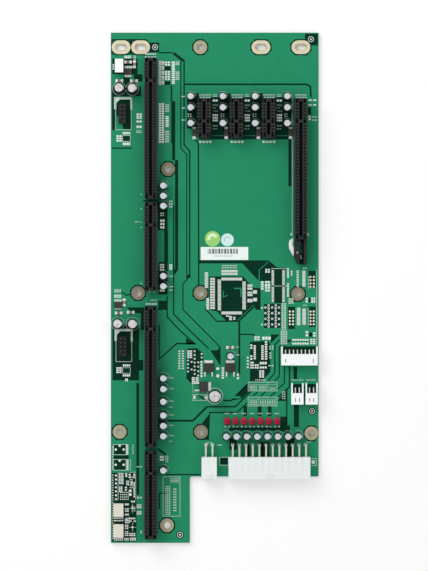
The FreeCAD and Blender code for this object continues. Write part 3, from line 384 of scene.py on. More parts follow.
# Fields of fine print: left, top, right, bottom on the grid, marks across and down.
FINE_MARKS = (
    (199, 93.6, 211, 95.9, 9, 1), (231.3, 93.6, 242.9, 95.9, 9, 1), (263.2, 93.6, 274.9, 95.9, 9, 1),
    (295.4, 93.6, 306.8, 95.9, 9, 1), (212.6, 93.8, 217.4, 97, 4, 2), (244.6, 93.8, 249.6, 97, 4, 2),
    (276.6, 93.8, 281.6, 97, 4, 2), (213, 110, 218, 111.6, 3, 1), (245.2, 110, 250.2, 111.6, 3, 1),
    (277.2, 110, 282.2, 111.6, 3, 1), (212.8, 124.6, 217.8, 126.8, 4, 1), (245, 124.6, 250, 126.8, 4, 1),
    (277, 124.6, 282, 126.8, 4, 1), (221.6, 264.6, 237.2, 268.6, 10, 2), (249.4, 385.4, 257, 390.2, 5, 3),
    (259, 385.4, 267, 390.2, 4, 3), (269.4, 388.2, 275.6, 390, 4, 1), (249.4, 400.2, 257.4, 405.2, 5, 3),
    (259.4, 400.4, 276, 405, 7, 3), (170, 478.2, 179, 483, 6, 3), (165, 486, 170.6, 515.4, 3, 16),
    (173, 488, 176.6, 512, 2, 9), (281.8, 391, 285.8, 399.6, 2, 4), (168.6, 377.1, 173.6, 378.9, 4, 1),
    (168.6, 387.9, 173.6, 389.7, 4, 1), (168.6, 400.4, 173.6, 402.2, 4, 1),
    (168.6, 406.4, 172.6, 408, 3, 1), (168.6, 414.1, 173.6, 415.9, 4, 1),
    (168.6, 424.6, 173.6, 426.4, 4, 1), (168.6, 434.8, 173.6, 436.6, 4, 1),
    (168.6, 440.6, 172.6, 442.2, 3, 1), (132, 444.5, 133.8, 454.4, 1, 5), (129.8, 459, 131.2, 471, 1, 8),
    (111.9, 446, 113.2, 470, 1, 10), (112, 474, 113.6, 540, 1, 26), (299, 379.2, 303.6, 381, 4, 1),
    (291.4, 379.2, 298, 381, 5, 1), (306.4, 379.2, 316, 381, 7, 1), (177.6, 350, 184.6, 369.6, 2, 8),
    (268.8, 345.4, 274, 350, 2, 2), (268.8, 352, 272, 359, 1, 3), (268, 364.6, 274, 367, 2, 1),
    (246, 356, 249.6, 369, 1, 4), (236.4, 346, 238.8, 348.2, 2, 1), (236.4, 354, 239.4, 356, 2, 1),
    (150, 299, 157, 301.2, 5, 1), (255, 379, 266, 381, 6, 1), (217.6, 444, 222, 446.4, 4, 1),
    (306.4, 441.4, 311, 443, 4, 1), (165, 455.4, 168.6, 463, 2, 4), (303, 267, 307, 269.4, 3, 1),
    (303, 304.4, 307, 306.2, 3, 1), (212.8, 104.2, 218, 106, 4, 1), (245, 104.2, 250.2, 106, 4, 1),
    (277, 104.2, 282.2, 106, 4, 1), (211.8, 107.2, 216, 108.4, 3, 1), (244, 107.2, 248.2, 108.4, 3, 1),
    (276, 107.2, 280.2, 108.4, 3, 1), (187.2, 112.8, 192, 117.2, 2, 2), (220.2, 112.8, 225, 117.2, 2, 2),
    (252.2, 112.8, 257, 117.2, 2, 2), (284.2, 112.8, 288, 117.2, 2, 2), (212.2, 128, 217, 129.4, 3, 1),
    (244.4, 128, 249.2, 129.4, 3, 1), (276.4, 128, 281.2, 129.4, 3, 1), (119.6, 491.4, 129, 500.6, 5, 4),
    (129.4, 476, 133, 489, 2, 5), (125.4, 517, 130, 524, 2, 3), (131, 506, 135.6, 512, 2, 3),
    (140.4, 193, 142, 195.6, 1, 1), (140.4, 207.4, 142, 210, 1, 1), (140.4, 221.2, 142, 223, 1, 1),
    (140.4, 226.2, 142, 228.6, 1, 1), (140.4, 281.4, 142, 285.2, 1, 1), (134.6, 220.8, 139.4, 222.6, 4, 1),
)

# Fields of tinned pads: left, top, right, bottom on the grid, pads across and down.
PAD_FIELDS = (
    (124, 55.2, 131.2, 58.4, 4, 2), (112.4, 63.6, 114, 69.6, 1, 3), (124.4, 65.2, 132.6, 68.6, 4, 1),
    (124.6, 74.6, 131, 77.4, 4, 1), (212.4, 99, 218, 101.8, 2, 1), (244.5, 99, 250.1, 101.8, 2, 1),
    (276.6, 99, 282.2, 101.8, 2, 1), (212.4, 113.6, 218, 121.6, 3, 3), (244.5, 113.6, 250.1, 121.6, 3, 3),
    (276.6, 113.6, 282.2, 121.6, 3, 3), (308.6, 115.3, 310.9, 120.4, 1, 2),
    (158.4, 102.7, 164.2, 143, 2, 17), (164.6, 61, 170.3, 65.9, 2, 2), (164.6, 70.5, 170.3, 80.3, 2, 4),
    (171.3, 61, 175.2, 84, 1, 12), (165, 115.7, 169.2, 127, 1, 6), (136.2, 113, 142, 119, 2, 3),
    (136.2, 120, 142, 122.8, 2, 1), (136.2, 124.9, 142, 128.4, 2, 1), (122.5, 131.3, 130.3, 134.8, 4, 1),
    (122.5, 141.8, 130.3, 145.7, 4, 1), (116, 134.8, 121.8, 141.8, 2, 3), (122.5, 364, 130.3, 367, 4, 1),
    (122.5, 374, 130.3, 377, 4, 1), (116, 367, 121.8, 373.4, 2, 3), (125, 378, 128, 382, 2, 1),
    (160, 219, 164.6, 229, 2, 3), (159.6, 263.6, 164.4, 271, 2, 3), (168.8, 264, 172.6, 270, 1, 3),
    (159.6, 289, 164.6, 292, 2, 1), (114, 294.4, 121.2, 298, 3, 2), (114, 299, 121.6, 301.8, 4, 1),
    (206, 298, 209.6, 309.6, 1, 6), (233.2, 316.6, 235.6, 320, 1, 2), (226, 315, 229, 317, 2, 1),
    (265, 268.6, 270.2, 273, 2, 2), (260.6, 281, 264, 290, 1, 4), (265, 280.6, 270.2, 292, 2, 4),
    (286.9, 267.8, 289.2, 278, 1, 5), (286.9, 283, 289.2, 297, 1, 6), (302, 270.5, 306, 286.6, 1, 12),
    (296.4, 307.6, 301, 325.4, 1, 14), (302, 308.6, 306.4, 324.8, 1, 12), (305.4, 297.3, 308.2, 303, 1, 2),
    (311, 297.3, 315.6, 303, 2, 3), (305.4, 330.6, 308.6, 337, 1, 2), (312.8, 332, 316, 337, 1, 2),
    (292, 338.6, 309, 341.2, 7, 1), (292, 342.2, 309, 345, 7, 1), (310, 338.6, 315.8, 344.6, 2, 3),
    (253.4, 345, 256.2, 359.6, 1, 7), (261, 345, 264, 360, 1, 7), (250.2, 344, 252.6, 349.4, 1, 2),
    (250.2, 355, 252.6, 360.4, 1, 2), (254, 336, 260, 340.6, 2, 2), (262, 336, 271, 340.4, 3, 1),
    (264.6, 341, 267.6, 360, 1, 8), (250.2, 361.4, 254, 369, 2, 3), (254.6, 364, 259, 369, 2, 2),
    (259.6, 361.4, 267, 365, 3, 1), (259.6, 366, 267, 369, 3, 1), (259, 370, 264.4, 378, 2, 4),
    (191.4, 377, 199, 384, 2, 4), (200.4, 360.6, 202.6, 377.6, 1, 6), (215.8, 367, 219.6, 370.4, 1, 1),
    (216, 374, 219.6, 378, 1, 1), (221.4, 367, 224.4, 379, 1, 5), (236.8, 373, 239.2, 380, 1, 2),
    (125.8, 444.4, 128.6, 455, 1, 7), (126.2, 459.4, 128.8, 470.6, 1, 7), (118.7, 473, 123.6, 484.5, 3, 8),
    (118.7, 486.4, 122.4, 492.4, 2, 4), (125, 473, 127.4, 477.4, 1, 2), (128.4, 473.6, 131, 478.6, 1, 2),
    (133, 473.6, 135.3, 478.6, 1, 3), (130.8, 481.2, 132.8, 486, 1, 3), (126, 480.6, 129, 485.6, 2, 3),
    (128.6, 489.2, 131.8, 496.6, 1, 2), (124.6, 486.6, 127, 491, 1, 2), (133.2, 482, 135.2, 498, 1, 8),
    (130.8, 500.6, 135.2, 502.8, 3, 1), (124.6, 503.2, 128.8, 506, 2, 1), (124.6, 508, 128.8, 512.4, 2, 2),
    (124.6, 513.4, 128.8, 516.2, 3, 1), (113.8, 517.4, 123.4, 519.2, 6, 1),
    (113.8, 519.8, 123.4, 521.8, 4, 1), (124.6, 518.6, 128.4, 523.4, 2, 3),
    (128.8, 517.6, 135.4, 519.8, 4, 1), (128.8, 520.4, 131.6, 522.4, 2, 1),
    (133.4, 520.4, 136, 522.4, 2, 1), (124.6, 524.6, 128.4, 529.4, 2, 3), (124.6, 531, 128.4, 536.4, 2, 3),
    (129, 533, 135.4, 536.6, 3, 2), (124, 538, 128.8, 541, 3, 2), (113.8, 538, 123.2, 541, 5, 2),
    (129.6, 537.6, 136, 541, 3, 2), (136.6, 504.4, 141.6, 508.6, 3, 3), (140.4, 530.4, 141.8, 534, 1, 1),
    (159.6, 455.8, 163.8, 461.2, 2, 2),
)

# Closely set pads in the same form.
DENSE_PADS = (
    (158.4, 60.4, 161.6, 84.8, 1, 15), (161.9, 60.4, 164.2, 84.8, 1, 5),
    (217.6, 279.4, 221.2, 310.4, 1, 24), (242.3, 281.4, 246, 309.6, 1, 22),
    (221.4, 277.2, 242.2, 280.8, 18, 1), (221.4, 311.1, 242, 314.8, 18, 1), (271.5, 270, 274.2, 285, 1, 12),
    (282.2, 270, 285, 285, 1, 12), (271.5, 287, 274.2, 302.4, 1, 12), (282.2, 287, 285, 302.4, 1, 12),
    (210, 277.6, 215, 309.4, 2, 12), (204.6, 272, 208.2, 288, 1, 9), (221.4, 269.6, 237.6, 275.2, 6, 2),
    (247.4, 284, 252.6, 290.2, 2, 2), (247.4, 291.4, 252.6, 296.4, 2, 2),
    (247.4, 298.4, 252.6, 302.8, 2, 1), (253, 289.8, 257.2, 294.2, 1, 1), (253, 297.4, 257.2, 301.8, 1, 1),
    (229, 315.8, 232.2, 320.4, 1, 2), (187, 350.2, 192.2, 358.4, 2, 4), (193, 395, 195.8, 399.6, 1, 1),
    (204.6, 395.4, 208, 399.8, 1, 1), (136.6, 511, 141.6, 515, 2, 2),
)

# Tinned through dots: left, top, right, bottom of their centres, dots across and down, radius (mm).
DOT_FIELDS = (
    (268.7, 305.5, 275.8, 326.5, 2, 8, 0.7), (265.5, 307.5, 279, 324.5, 3, 4, 0.7),
    (262, 308, 262, 324.5, 1, 2, 0.6), (188, 360.6, 188, 371.6, 1, 4, 0.6),
    (191.6, 362, 191.6, 369.6, 1, 2, 0.6), (194.6, 351.2, 194.6, 374, 1, 7, 0.6),
    (198.2, 362.4, 198.2, 375.6, 1, 4, 0.6), (201.7, 354, 201.7, 357.6, 1, 2, 0.6),
    (232.7, 445.2, 305.7, 445.2, 12, 1, 1.1), (206, 445.2, 212.4, 445.2, 2, 1, 1.1),
    (138, 497.8, 140.8, 497.8, 2, 1, 0.65),
)

# Filled plated dots of the header pads in the same form.
PIN_DOTS = (
    (310.5, 276.9, 313.9, 286.8, 2, 4, 0.68), (289.9, 311.5, 293.1, 324.3, 2, 5, 0.68),
    (310.6, 311.5, 313.8, 324.3, 2, 5, 0.68),
)

# Filled tinned dots of the lamps and the jumpers in the same form.
SOLDER_DOTS = (
    (225.2, 426.8, 275.2, 426.8, 7, 1, 0.42), (229, 426.8, 279, 426.8, 7, 1, 0.42),
    (119.6, 445.9, 119.6, 445.9, 1, 1, 0.75), (115.7, 449.7, 123.6, 449.7, 2, 1, 0.75),
    (119.6, 460.8, 119.6, 460.8, 1, 1, 0.75), (115.7, 464.9, 123.6, 464.9, 2, 1, 0.75),
    (115.9, 475.7, 115.9, 499.4, 1, 7, 0.65), (132.5, 508.5, 132.5, 527.5, 1, 2, 0.7),
)


def linear(code):
    """Linear colour of an sRGB hex code."""
    parts = [int(code[i:i + 2], 16) / 255 for i in (1, 3, 5)]
    return [c / 12.92 if c <= 0.04045 else ((c + 0.055) / 1.055) ** 2.4 for c in parts]


def length(name, description, default_mm):
    """Length property given in millimetres."""
    return bpy.props.FloatProperty(
        name=name, description=description, default=default_mm * MM, min=0.0, unit="LENGTH",
        subtype="DISTANCE",
    )


def colour(name, description, code):
    """Colour property given as an sRGB hex code."""
    return bpy.props.FloatVectorProperty(
        name=name, description=description, default=linear(code), size=3, min=0.0, max=1.0, subtype="COLOR"
    )


class BackplaneSizes(bpy.types.PropertyGroup):
    """Sizes of the artwork and the small parts."""

    gap_rise: length("Gap rise", "Height of the bare gaps' surface over the board", 0.015)
    gap_spread: length("Gap spread", "Width added to every gap between pours", 0.18)
    gap_step: length("Gap step", "Step between the surfaces of gaps that meet", 0.004)
    trace_rise: length("Trace rise", "Height of a covered trace over the board", 0.045)
    ink_rise: length("Ink rise", "Height of the print over the board", 0.07)
    pad_rise: length("Pad rise", "Height of a tinned pad over the board", 0.06)
    ink_width: length("Ink width", "Width of a printed line", 0.24)
    fine_width: length("Fine width", "Width of a worn printed line", 0.11)
    target_radius: length("Target radius", "Radius of a sighting target's bare ground", 2.45)
    pad_radius: length("Pad radius", "Radius of a mounting hole's plated ring", 4.35)
    plating: length("Plating", "Thickness of the plating in a hole", 0.06)
    chamber_offset: length("Chamber offset", "Distance of a contact chamber from the slot's middle", 2.45)
    chamber_width: length("Chamber width", "Width of a contact chamber", 1.1)
    chamber_depth: length("Chamber depth", "Depth of a contact chamber below the slot's top", 2.2)
    rib_thickness: length("Rib thickness", "Thickness of the wall between two contact chambers", 0.5)
    side_rib_reach: length("Side rib reach", "How far a side rib stands out of a slot's wall", 0.55)
    side_rib_thickness: length("Side rib thickness", "Thickness of a side rib", 1.0)
    contact_width: length("Contact width", "Width of a spring contact", 0.5)
    channel_half: length("Channel half width", "Half the width of the card channel", 0.9)
    tail_reach: length("Tail reach", "How far a contact's tail stands out under the board", 1.0)
    tail_width: length("Tail width", "Width of a contact's tail", 0.4)
    solder_radius: length("Solder radius", "Radius of a solder joint", 0.48)
    can_lip: length("Can lip", "Width of the sleeve's curl over a can's top", 0.55)
    rim_width: length("Rim width", "Width of the worn rim round a mounting hole", 0.26)
    # The lead-in strip is a pale painted highlight along the channel's chamfer.
    lead_in: length("Lead-in", "Width of the rubbed edge along the card channel", 0.3)
    stripe_rise: length("Stripe rise", "Height of the polarity stripe over the sleeve", 0.03)


class BackplaneColours(bpy.types.PropertyGroup):
    """Colours of the finishes."""

    mask: colour("Mask", "Solder mask over copper", "#1B835B")
    mask_pale: colour("Pale mask", "Solder mask over copper where it is thin", "#228B63")
    # The bare colours also paint the shadow in the latch's gap and beside the upper header.
    bare: colour("Bare mask", "Solder mask over bare laminate", "#02281D")
    bare_pale: colour("Pale bare mask", "Solder mask over bare laminate where it is thin", "#063425")
    edge: colour("Cut edge", "Routed edge of the laminate", "#A3A987")
    ink: colour("Ink", "White print", "#DDEBE2")
    slot: colour("Slot", "Black plastic of the slots", "#191D1E")
    nylon: colour("Nylon", "White nylon", "#E8EDEC")
    cream: colour("Cream", "Cream plastic", "#DEDACA")
    sleeve: colour("Sleeve", "Shrink sleeve of a can", "#1B1D22")
    stripe: colour("Stripe", "Polarity stripe of a can", "#B9C2C6")
    lens: colour("Lens", "Red lamp lens", "#C21E42")
    paper: colour("Paper", "Label paper", "#EBF5F2")
    green_paper: colour("Green paper", "Yellow-green sticker", "#98D072")


def at(column, row):
    """Point of the layout grid in the frame."""
    return Vector(((column - GRID_ORIGIN[0]) * GRID_STEP, (GRID_ORIGIN[1] - row) * GRID_STEP))


def path(points):
    """Points of the layout grid in the frame."""
    return [at(*point) for point in points]


def prism(mesh, outline, low, high):
    """Adds a closed upright solid over an outline."""
    turns = zip(outline, outline[1:] + outline[:1])
    if sum(a[0] * b[1] - b[0] * a[1] for a, b in turns) < 0:
        outline = outline[::-1]
    base = [mesh.verts.new((p[0], p[1], low)) for p in outline]
    top = [mesh.verts.new((p[0], p[1], high)) for p in outline]
    mesh.faces.new(base[::-1])
    mesh.faces.new(top)
    for i in range(len(outline)):
        j = (i + 1) % len(outline)
        mesh.faces.new((base[i], base[j], top[j], top[i]))


def block(mesh, left, low_y, right, high_y, low, high):
    """Adds a closed box."""
    prism(mesh, [(left, low_y), (right, low_y), (right, high_y), (left, high_y)], low, high)


def grid_block(mesh, field, low, high):
    """Adds a closed box over a field of the layout grid."""
    corner, across = at(field[0], field[3]), at(field[2], field[1])
    block(mesh, corner.x, corner.y, across.x, across.y, low, high)


def band(points, width):
    """Outline of a line of even width with mitred corners."""
    left, right = [], []
    for i, point in enumerate(points):
        before = (point - points[i - 1]).normalized() if i else None
        after = (points[i + 1] - point).normalized() if i + 1 < len(points) else before
        along = (after + (before if before is not None else after)).normalized()
        side = Vector((-along.y, along.x))
        reach = width / 2 / max(side.dot(Vector((-after.y, after.x))), 0.5)
        left.append(point + side * reach)
        right.append(point - side * reach)
    return left + right[::-1]


def ring(inner, outer, low, high):
    """Section of a flat ring, to be swept."""
    return ((inner, low), (outer, low), (outer, high), (inner, high))


def sweep(mesh, section, centre, start=0.0, stop=360.0, steps=24, stretch=0.0):
    """Adds a closed solid swept round a centre from a section of radius and height points.
    The stretch parts the two halves along X, which makes an oval."""
    whole = stop - start >= 360.0
    loops = []
    for i in range(steps if whole else steps + 1):
        angle = math.radians(start + (stop - start) * i / steps)
        shift = math.copysign(stretch, math.cos(angle)) if stretch else 0.0
        loops.append([
            mesh.verts.new((centre[0] + shift + r * math.cos(angle), centre[1] + r * math.sin(angle), z))
            for r, z in section
        ])
    count = len(section)
    for i in range(len(loops) if whole else len(loops) - 1):
        here, there = loops[i], loops[(i + 1) % len(loops)]
        for j in range(count):
            k = (j + 1) % count
            mesh.faces.new((here[j], there[j], there[k], here[k]))
    if not whole:
        mesh.faces.new(loops[0])
        mesh.faces.new(loops[-1][::-1])


def trim(mesh):
    """Cuts copper and mask back from the board's long edges."""
    for vert in mesh.verts:
        vert.co.x = min(max(vert.co.x, -COPPER_HALF), COPPER_HALF)


def soften(mesh, limit=40.0):
    """Shades a mesh smooth except along edges sharper than the limit."""
    for face in mesh.faces:
        face.smooth = True
    for edge in mesh.edges:
        edge.smooth = edge.calc_face_angle(0.0) < math.radians(limit)


def put(name, mesh, finish, body="backplane", smooth=False):
    """Makes a finished piece of the object that rides on a body."""
    bmesh.ops.recalc_face_normals(mesh, faces=mesh.faces[:])
    if smooth:
        soften(mesh)
    data = bpy.data.meshes.new(name)
    mesh.to_mesh(data)
    mesh.free()
    data.materials.clear()
    data.materials.append(bpy.data.materials[finish])
    piece = bpy.data.objects.new(name, data)
    bpy.context.scene.collection.objects.link(piece)
    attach(piece, body)
    return piece


def add(tree, kind, sockets=(), **settings):
    """Adds a node, sets its settings, and feeds its sockets with values or other nodes' outputs."""
    node = tree.nodes.new(kind)
    for name, value in settings.items():
        setattr(node, name, value)
    for key, value in dict(sockets).items():
        if isinstance(value, bpy.types.NodeSocket):
            tree.links.new(value, node.inputs[key])
        else:
            node.inputs[key].default_value = value
    return node


def repeat_tree():
    """Node group that sets one shape at the crossings of a grid of columns and rows."""
    tree = bpy.data.node_groups.new("repeat_shape", "GeometryNodeTree")
    inputs = (
        ("Geometry", "NodeSocketGeometry"), ("Shape", "NodeSocketObject"), ("Size", "NodeSocketVector"),
        ("Start", "NodeSocketVector"), ("Columns", "NodeSocketInt"), ("Column pitch", "NodeSocketVector"),
        ("Rows", "NodeSocketInt"), ("Row pitch", "NodeSocketVector"), ("Finish", "NodeSocketMaterial"),
    )
    for name, kind in inputs:
        tree.interface.new_socket(name=name, in_out="INPUT", socket_type=kind)
    tree.interface.new_socket(name="Geometry", in_out="OUTPUT", socket_type="NodeSocketGeometry")
    given = add(tree, "NodeGroupInput").outputs
    columns = add(tree, "GeometryNodeMeshLine", {
        "Count": given["Columns"], "Start Location": given["Start"], "Offset": given["Column pitch"]})
    rows = add(tree, "GeometryNodeMeshLine", {"Count": given["Rows"], "Offset": given["Row pitch"]})
    grid = add(tree, "GeometryNodeInstanceOnPoints", {
        "Points": columns.outputs["Mesh"], "Instance": rows.outputs["Mesh"]})
    places = add(tree, "GeometryNodeRealizeInstances", {"Geometry": grid.outputs["Instances"]})
    shape = add(tree, "GeometryNodeObjectInfo", {"Object": given["Shape"]})
    copies = add(tree, "GeometryNodeInstanceOnPoints", {
        "Points": places.outputs["Geometry"], "Instance": shape.outputs["Geometry"],
        "Scale": given["Size"]})
    solid = add(tree, "GeometryNodeRealizeInstances", {"Geometry": copies.outputs["Instances"]})
    finished = add(tree, "GeometryNodeSetMaterial", {
        "Geometry": solid.outputs["Geometry"], "Material": given["Finish"]})
    add(tree, "NodeGroupOutput", {"Geometry": finished.outputs["Geometry"]})
    return tree


def repeat(mesh, shape, finish, start, columns=1, column_pitch=(0, 0, 0), rows=1, row_pitch=(0, 0, 0),
           size=(1, 1, 1)):
    """Adds a grid of copies of a shape to a mesh."""
    tree = bpy.data.node_groups.get("repeat_shape") or repeat_tree()
    carrier = bpy.data.objects.new("carrier", bpy.data.meshes.new("carrier"))
    bpy.context.scene.collection.objects.link(carrier)
    modifier = carrier.modifiers.new("repeat", "NODES")
    modifier.node_group = tree
    values = {
        "Shape": shape, "Size": size, "Start": start, "Columns": columns, "Column pitch": column_pitch,
        "Rows": rows, "Row pitch": row_pitch, "Finish": bpy.data.materials[finish],
    }
    for item in tree.interface.items_tree:
        if item.in_out == "INPUT" and item.name in values:
            modifier[item.identifier] = values[item.name]
    graph = bpy.context.evaluated_depsgraph_get()
    grown = bpy.data.meshes.new_from_object(carrier.evaluated_get(graph))
    carrier.modifiers.remove(modifier)
    mesh.from_mesh(grown)
    bpy.data.meshes.remove(grown)
    bpy.data.objects.remove(carrier)


def pattern(name, build):
    """Object that holds a shape to repeat, made by a building function."""
    mesh = bmesh.new()
    build(mesh)
    bmesh.ops.recalc_face_normals(mesh, faces=mesh.faces[:])
    data = bpy.data.meshes.new(name)
    mesh.to_mesh(data)
    mesh.free()
    shape = bpy.data.objects.new(name, data)
    bpy.context.scene.collection.objects.link(shape)
    return shape


def repeat_cells(mesh, shape, finish, field, fill, rise):
    """Adds a field of flat marks to a mesh, each filling a share of its cell."""
    left, upper, right, lower, across, down = field
    pitch_x = (right - left) * GRID_STEP / across
    pitch_y = (lower - upper) * GRID_STEP / down
    first = at(left, upper) + Vector((pitch_x / 2, -pitch_y / 2))
    repeat(mesh, shape, finish, (first.x, first.y, BOARD_TOP), across, (pitch_x, 0, 0), down,
           (0, -pitch_y, 0), (pitch_x * fill[0], pitch_y * fill[1], rise))


def unit_block(mesh):
    """Box of unit size that stands on its middle."""
    block(mesh, -0.5, -0.5, 0.5, 0.5, 0.0, 1.0)


def finish_base(name):
    """New node material and its shader, under a name that no other material has."""
    if name in bpy.data.materials:
        raise ValueError("the frame already has a material named " + name)
    material = bpy.data.materials.new(name)
    material.use_nodes = True
    tree = material.node_tree
    return tree, tree.nodes["Principled BSDF"]


def tone(value):
    """Linear colour of a hex code, or the linear colour itself."""
    return linear(value) if isinstance(value, str) else value


def shade(value, share):
    """Linear colour made darker or lighter by a share."""
    return [part * share for part in value]


def mottled(name, low, high, grain, rough, bump=0.0, **constants):
    """Material whose colour and roughness drift between two values over patches of a real size (mm)."""
    tree, shader = finish_base(name)
    place = add(tree, "ShaderNodeTexCoord").outputs["Object"]
    patches = {"Vector": place, "Scale": 1 / (grain * MM), "Detail": 4.0}
    noise = add(tree, "ShaderNodeTexNoise", patches).outputs["Fac"]
    tones = {"Factor": noise, 6: (*tone(low), 1), 7: (*tone(high), 1)}
    tint = add(tree, "ShaderNodeMix", tones, data_type="RGBA")
    polish = add(tree, "ShaderNodeMapRange", {"Value": noise, "To Min": rough[0], "To Max": rough[1]})
    tree.links.new(tint.outputs[2], shader.inputs["Base Color"])
    tree.links.new(polish.outputs["Result"], shader.inputs["Roughness"])
    if bump:
        dents = add(tree, "ShaderNodeBump", {"Height": noise, "Strength": 0.6, "Distance": bump * MM})
        tree.links.new(dents.outputs["Normal"], shader.inputs["Normal"])
    for socket, value in constants.items():
        shader.inputs[socket.replace("_", " ")].default_value = value
    return tree, shader, tint.outputs[2]


def laminate_finish(name, paint):
    """Masked board: green on the faces, raw glass-epoxy on the routed edges."""
    tree, shader, mask = mottled(name, paint.mask, paint.mask_pale, 6, (0.42, 0.56), 0.004,
                                 Specular_IOR_Level=0.1)
    facing = add(tree, "ShaderNodeNewGeometry").outputs["Normal"]
    upright = add(tree, "ShaderNodeSeparateXYZ", {"Vector": facing}).outputs["Z"]
    flat = add(tree, "ShaderNodeMath", {0: upright}, operation="ABSOLUTE").outputs[0]
    face = add(tree, "ShaderNodeMath", {0: flat, 1: 0.5}, operation="GREATER_THAN").outputs[0]
    both = add(tree, "ShaderNodeMix", {"Factor": face, 6: (*paint.edge, 1), 7: mask}, data_type="RGBA")
    tree.links.new(both.outputs[2], shader.inputs["Base Color"])


def make_finishes(paint):
    """All the materials of the object."""
    # Satin green with a faint drift in depth, as mask over copper shows.
    laminate_finish("masked_laminate", paint)
    # Deep green where no copper lies under the mask; the same green is painted shadow in the latch's gap
    # and beside the upper header.
    mottled("bare_mask_and_painted_shadow", paint.bare, paint.bare_pale, 3, (0.45, 0.6), Specular_IOR_Level=0.04)
    # The same mask over a narrow trace.
    mottled("trace_mask", paint.mask, paint.mask_pale, 2, (0.42, 0.56), Specular_IOR_Level=0.1)
    # Matt white print with thin spots that let the green through.
    mottled("white_ink", shade(paint.ink, 0.72), paint.ink, 0.5, (0.6, 0.75))
    # The same print painted brighter: painted light on the crescent that lies in the latch's shade.
    mottled("painted_light_ink", "#EDF2EC", "#FBFDF9", 0.8, (0.6, 0.75))
    # Bright hot-dipped solder with a soft ripple.
    mottled("tinned_pad", "#C3CAC6", "#E9EEEA", 0.5, (0.35, 0.5), 0.01, Metallic=0.3)
    # Solder dulled to grey on closely set pads.
    mottled("dull_pad", "#B2B9B4", "#D4DAD5", 0.5, (0.4, 0.55), 0.01, Metallic=0.2)
    # Cream-gold flash on the header pads.
    mottled("plated_dot", "#C9CDB0", "#E2E6D0", 0.5, (0.35, 0.5), 0.01, Metallic=0.1)
    # Copper showing through at the worn rim of a hole.
    mottled("worn_rim", "#A9805F", "#C9A98A", 0.6, (0.4, 0.55), Metallic=0.3)
    # Pale flash-plated rings, dulled by handling.
    mottled("plated_ring", "#B9B494", "#D6D2B6", 1.5, (0.4, 0.55), 0.006, Metallic=0.2)
    # The same rings worn tan by screw heads.
    mottled("dulled_ring", "#8A866B", "#AAA78B", 1.2, (0.42, 0.58), 0.006, Metallic=0.2)
    # Rings worn darkest, with the flash almost gone.
    mottled("worn_ring", "#615F4B", "#827F68", 1.2, (0.42, 0.58), 0.006, Metallic=0.2)
    # Glass-filled black plastic: fine pits and a dull sheen.
    mottled("glass_filled_black", shade(paint.slot, 0.75), shade(paint.slot, 1.25), 0.35, (0.5, 0.66),
            0.01, Specular_IOR_Level=0.2)
    # The same plastic on rib edges, which catch the light.
    mottled("ribbed_edge", "#343939", "#4D5252", 0.5, (0.45, 0.6), 0.01, Specular_IOR_Level=0.2)
    # The same plastic painted pale along the card channel: a painted highlight on the lead-in's chamfer.
    mottled("painted_highlight_plastic", "#29282B", "#403E42", 0.5, (0.45, 0.6), 0.01, Specular_IOR_Level=0.04)
    # Milky nylon, slightly uneven, with a soft glow.
    mottled("white_nylon", shade(paint.nylon, 0.94), paint.nylon, 2.5, (0.4, 0.55), 0.008,
            Subsurface_Weight=0.08, Subsurface_Scale=0.5 * MM)
    # Brighter nylon of the small connectors.
    mottled("bright_nylon", "#EAEFEF", "#FAFDFD", 2.5, (0.4, 0.55), 0.008)
    # Warm cream plastic with the same moulded grain.
    mottled("cream_moulding", shade(paint.cream, 0.9), paint.cream, 1.5, (0.42, 0.58), 0.008)
    # Tin-plated brass pins: pale, with soft highlights.
    mottled("tinned_pin", "#BFC4C0", "#E6EAE4", 0.6, (0.3, 0.45), Metallic=0.5)
    # Pins in the open headers, dull and dark.
    mottled("dark_pin", "#2F2628", "#5A4A4C", 0.6, (0.4, 0.55), Metallic=0.3)
    # The latch's hinge pin, tarnished.
    mottled("dull_pin", "#6A5C63", "#8B7D84", 0.5, (0.4, 0.55), Metallic=0.3)
    # Brass tails with a worn tin skin.
    mottled("brass_tail", "#9AA18F", "#D6DBCC", 0.9, (0.3, 0.45), Metallic=0.4)
    # Gold-flashed spring contacts: a warm glint deep in the slot.
    mottled("gold_contact", "#A98646", "#D3B069", 0.4, (0.25, 0.4), Metallic=1.0)
    # Dull solder joints with a wavy skin.
    mottled("solder", "#9DA09C", "#C4C7C2", 0.35, (0.35, 0.6), 0.03, Metallic=0.85)
    # Shrunk film with soft gloss.
    mottled("shrink_film", shade(paint.sleeve, 0.8), shade(paint.sleeve, 1.3), 1.2, (0.3, 0.45), 0.01,
            Specular_IOR_Level=0.2)
    # Rolled aluminium: an even, silky grey.
    mottled("can_top", "#A4ABB3", "#CDD4DA", 0.8, (0.4, 0.55), 0.006, Metallic=0.2)
    # The same metal mottled from dark grey to white: painted reflections on the large cans' shiny tops.
    mottled("can_top_painted_reflections", "#544F58", "#FFFFFF", 1.6, (0.35, 0.5), 0.006, Metallic=0.1)
    # Pale printed stripe on the film.
    mottled("can_stripe", shade(paint.stripe, 0.85), paint.stripe, 0.8, (0.4, 0.5))
    # Clear red casting resin: a deep colour and a small, sharp highlight.
    mottled("red_resin", shade(paint.lens, 0.75), paint.lens, 1.2, (0.15, 0.28), Transmission_Weight=0.1,
            IOR=1.53, Specular_IOR_Level=0.12)
    # The dark cup around the die seen through the resin, which is also a painted dark reflection on the
    # dome.
    mottled("die_cup_and_painted_reflection", "#6A0F22", "#941930", 0.5, (0.3, 0.45), Specular_IOR_Level=0.1)
    # Moulding compound: matt black with fine pits.
    mottled("black_compound", "#232323", "#3A3838", 0.4, (0.5, 0.68), 0.012, Specular_IOR_Level=0.25)
    # Tantalum moulding: matt brown-black.
    mottled("brown_compound", "#3A3632", "#565049", 0.5, (0.5, 0.65), 0.01, Specular_IOR_Level=0.2)
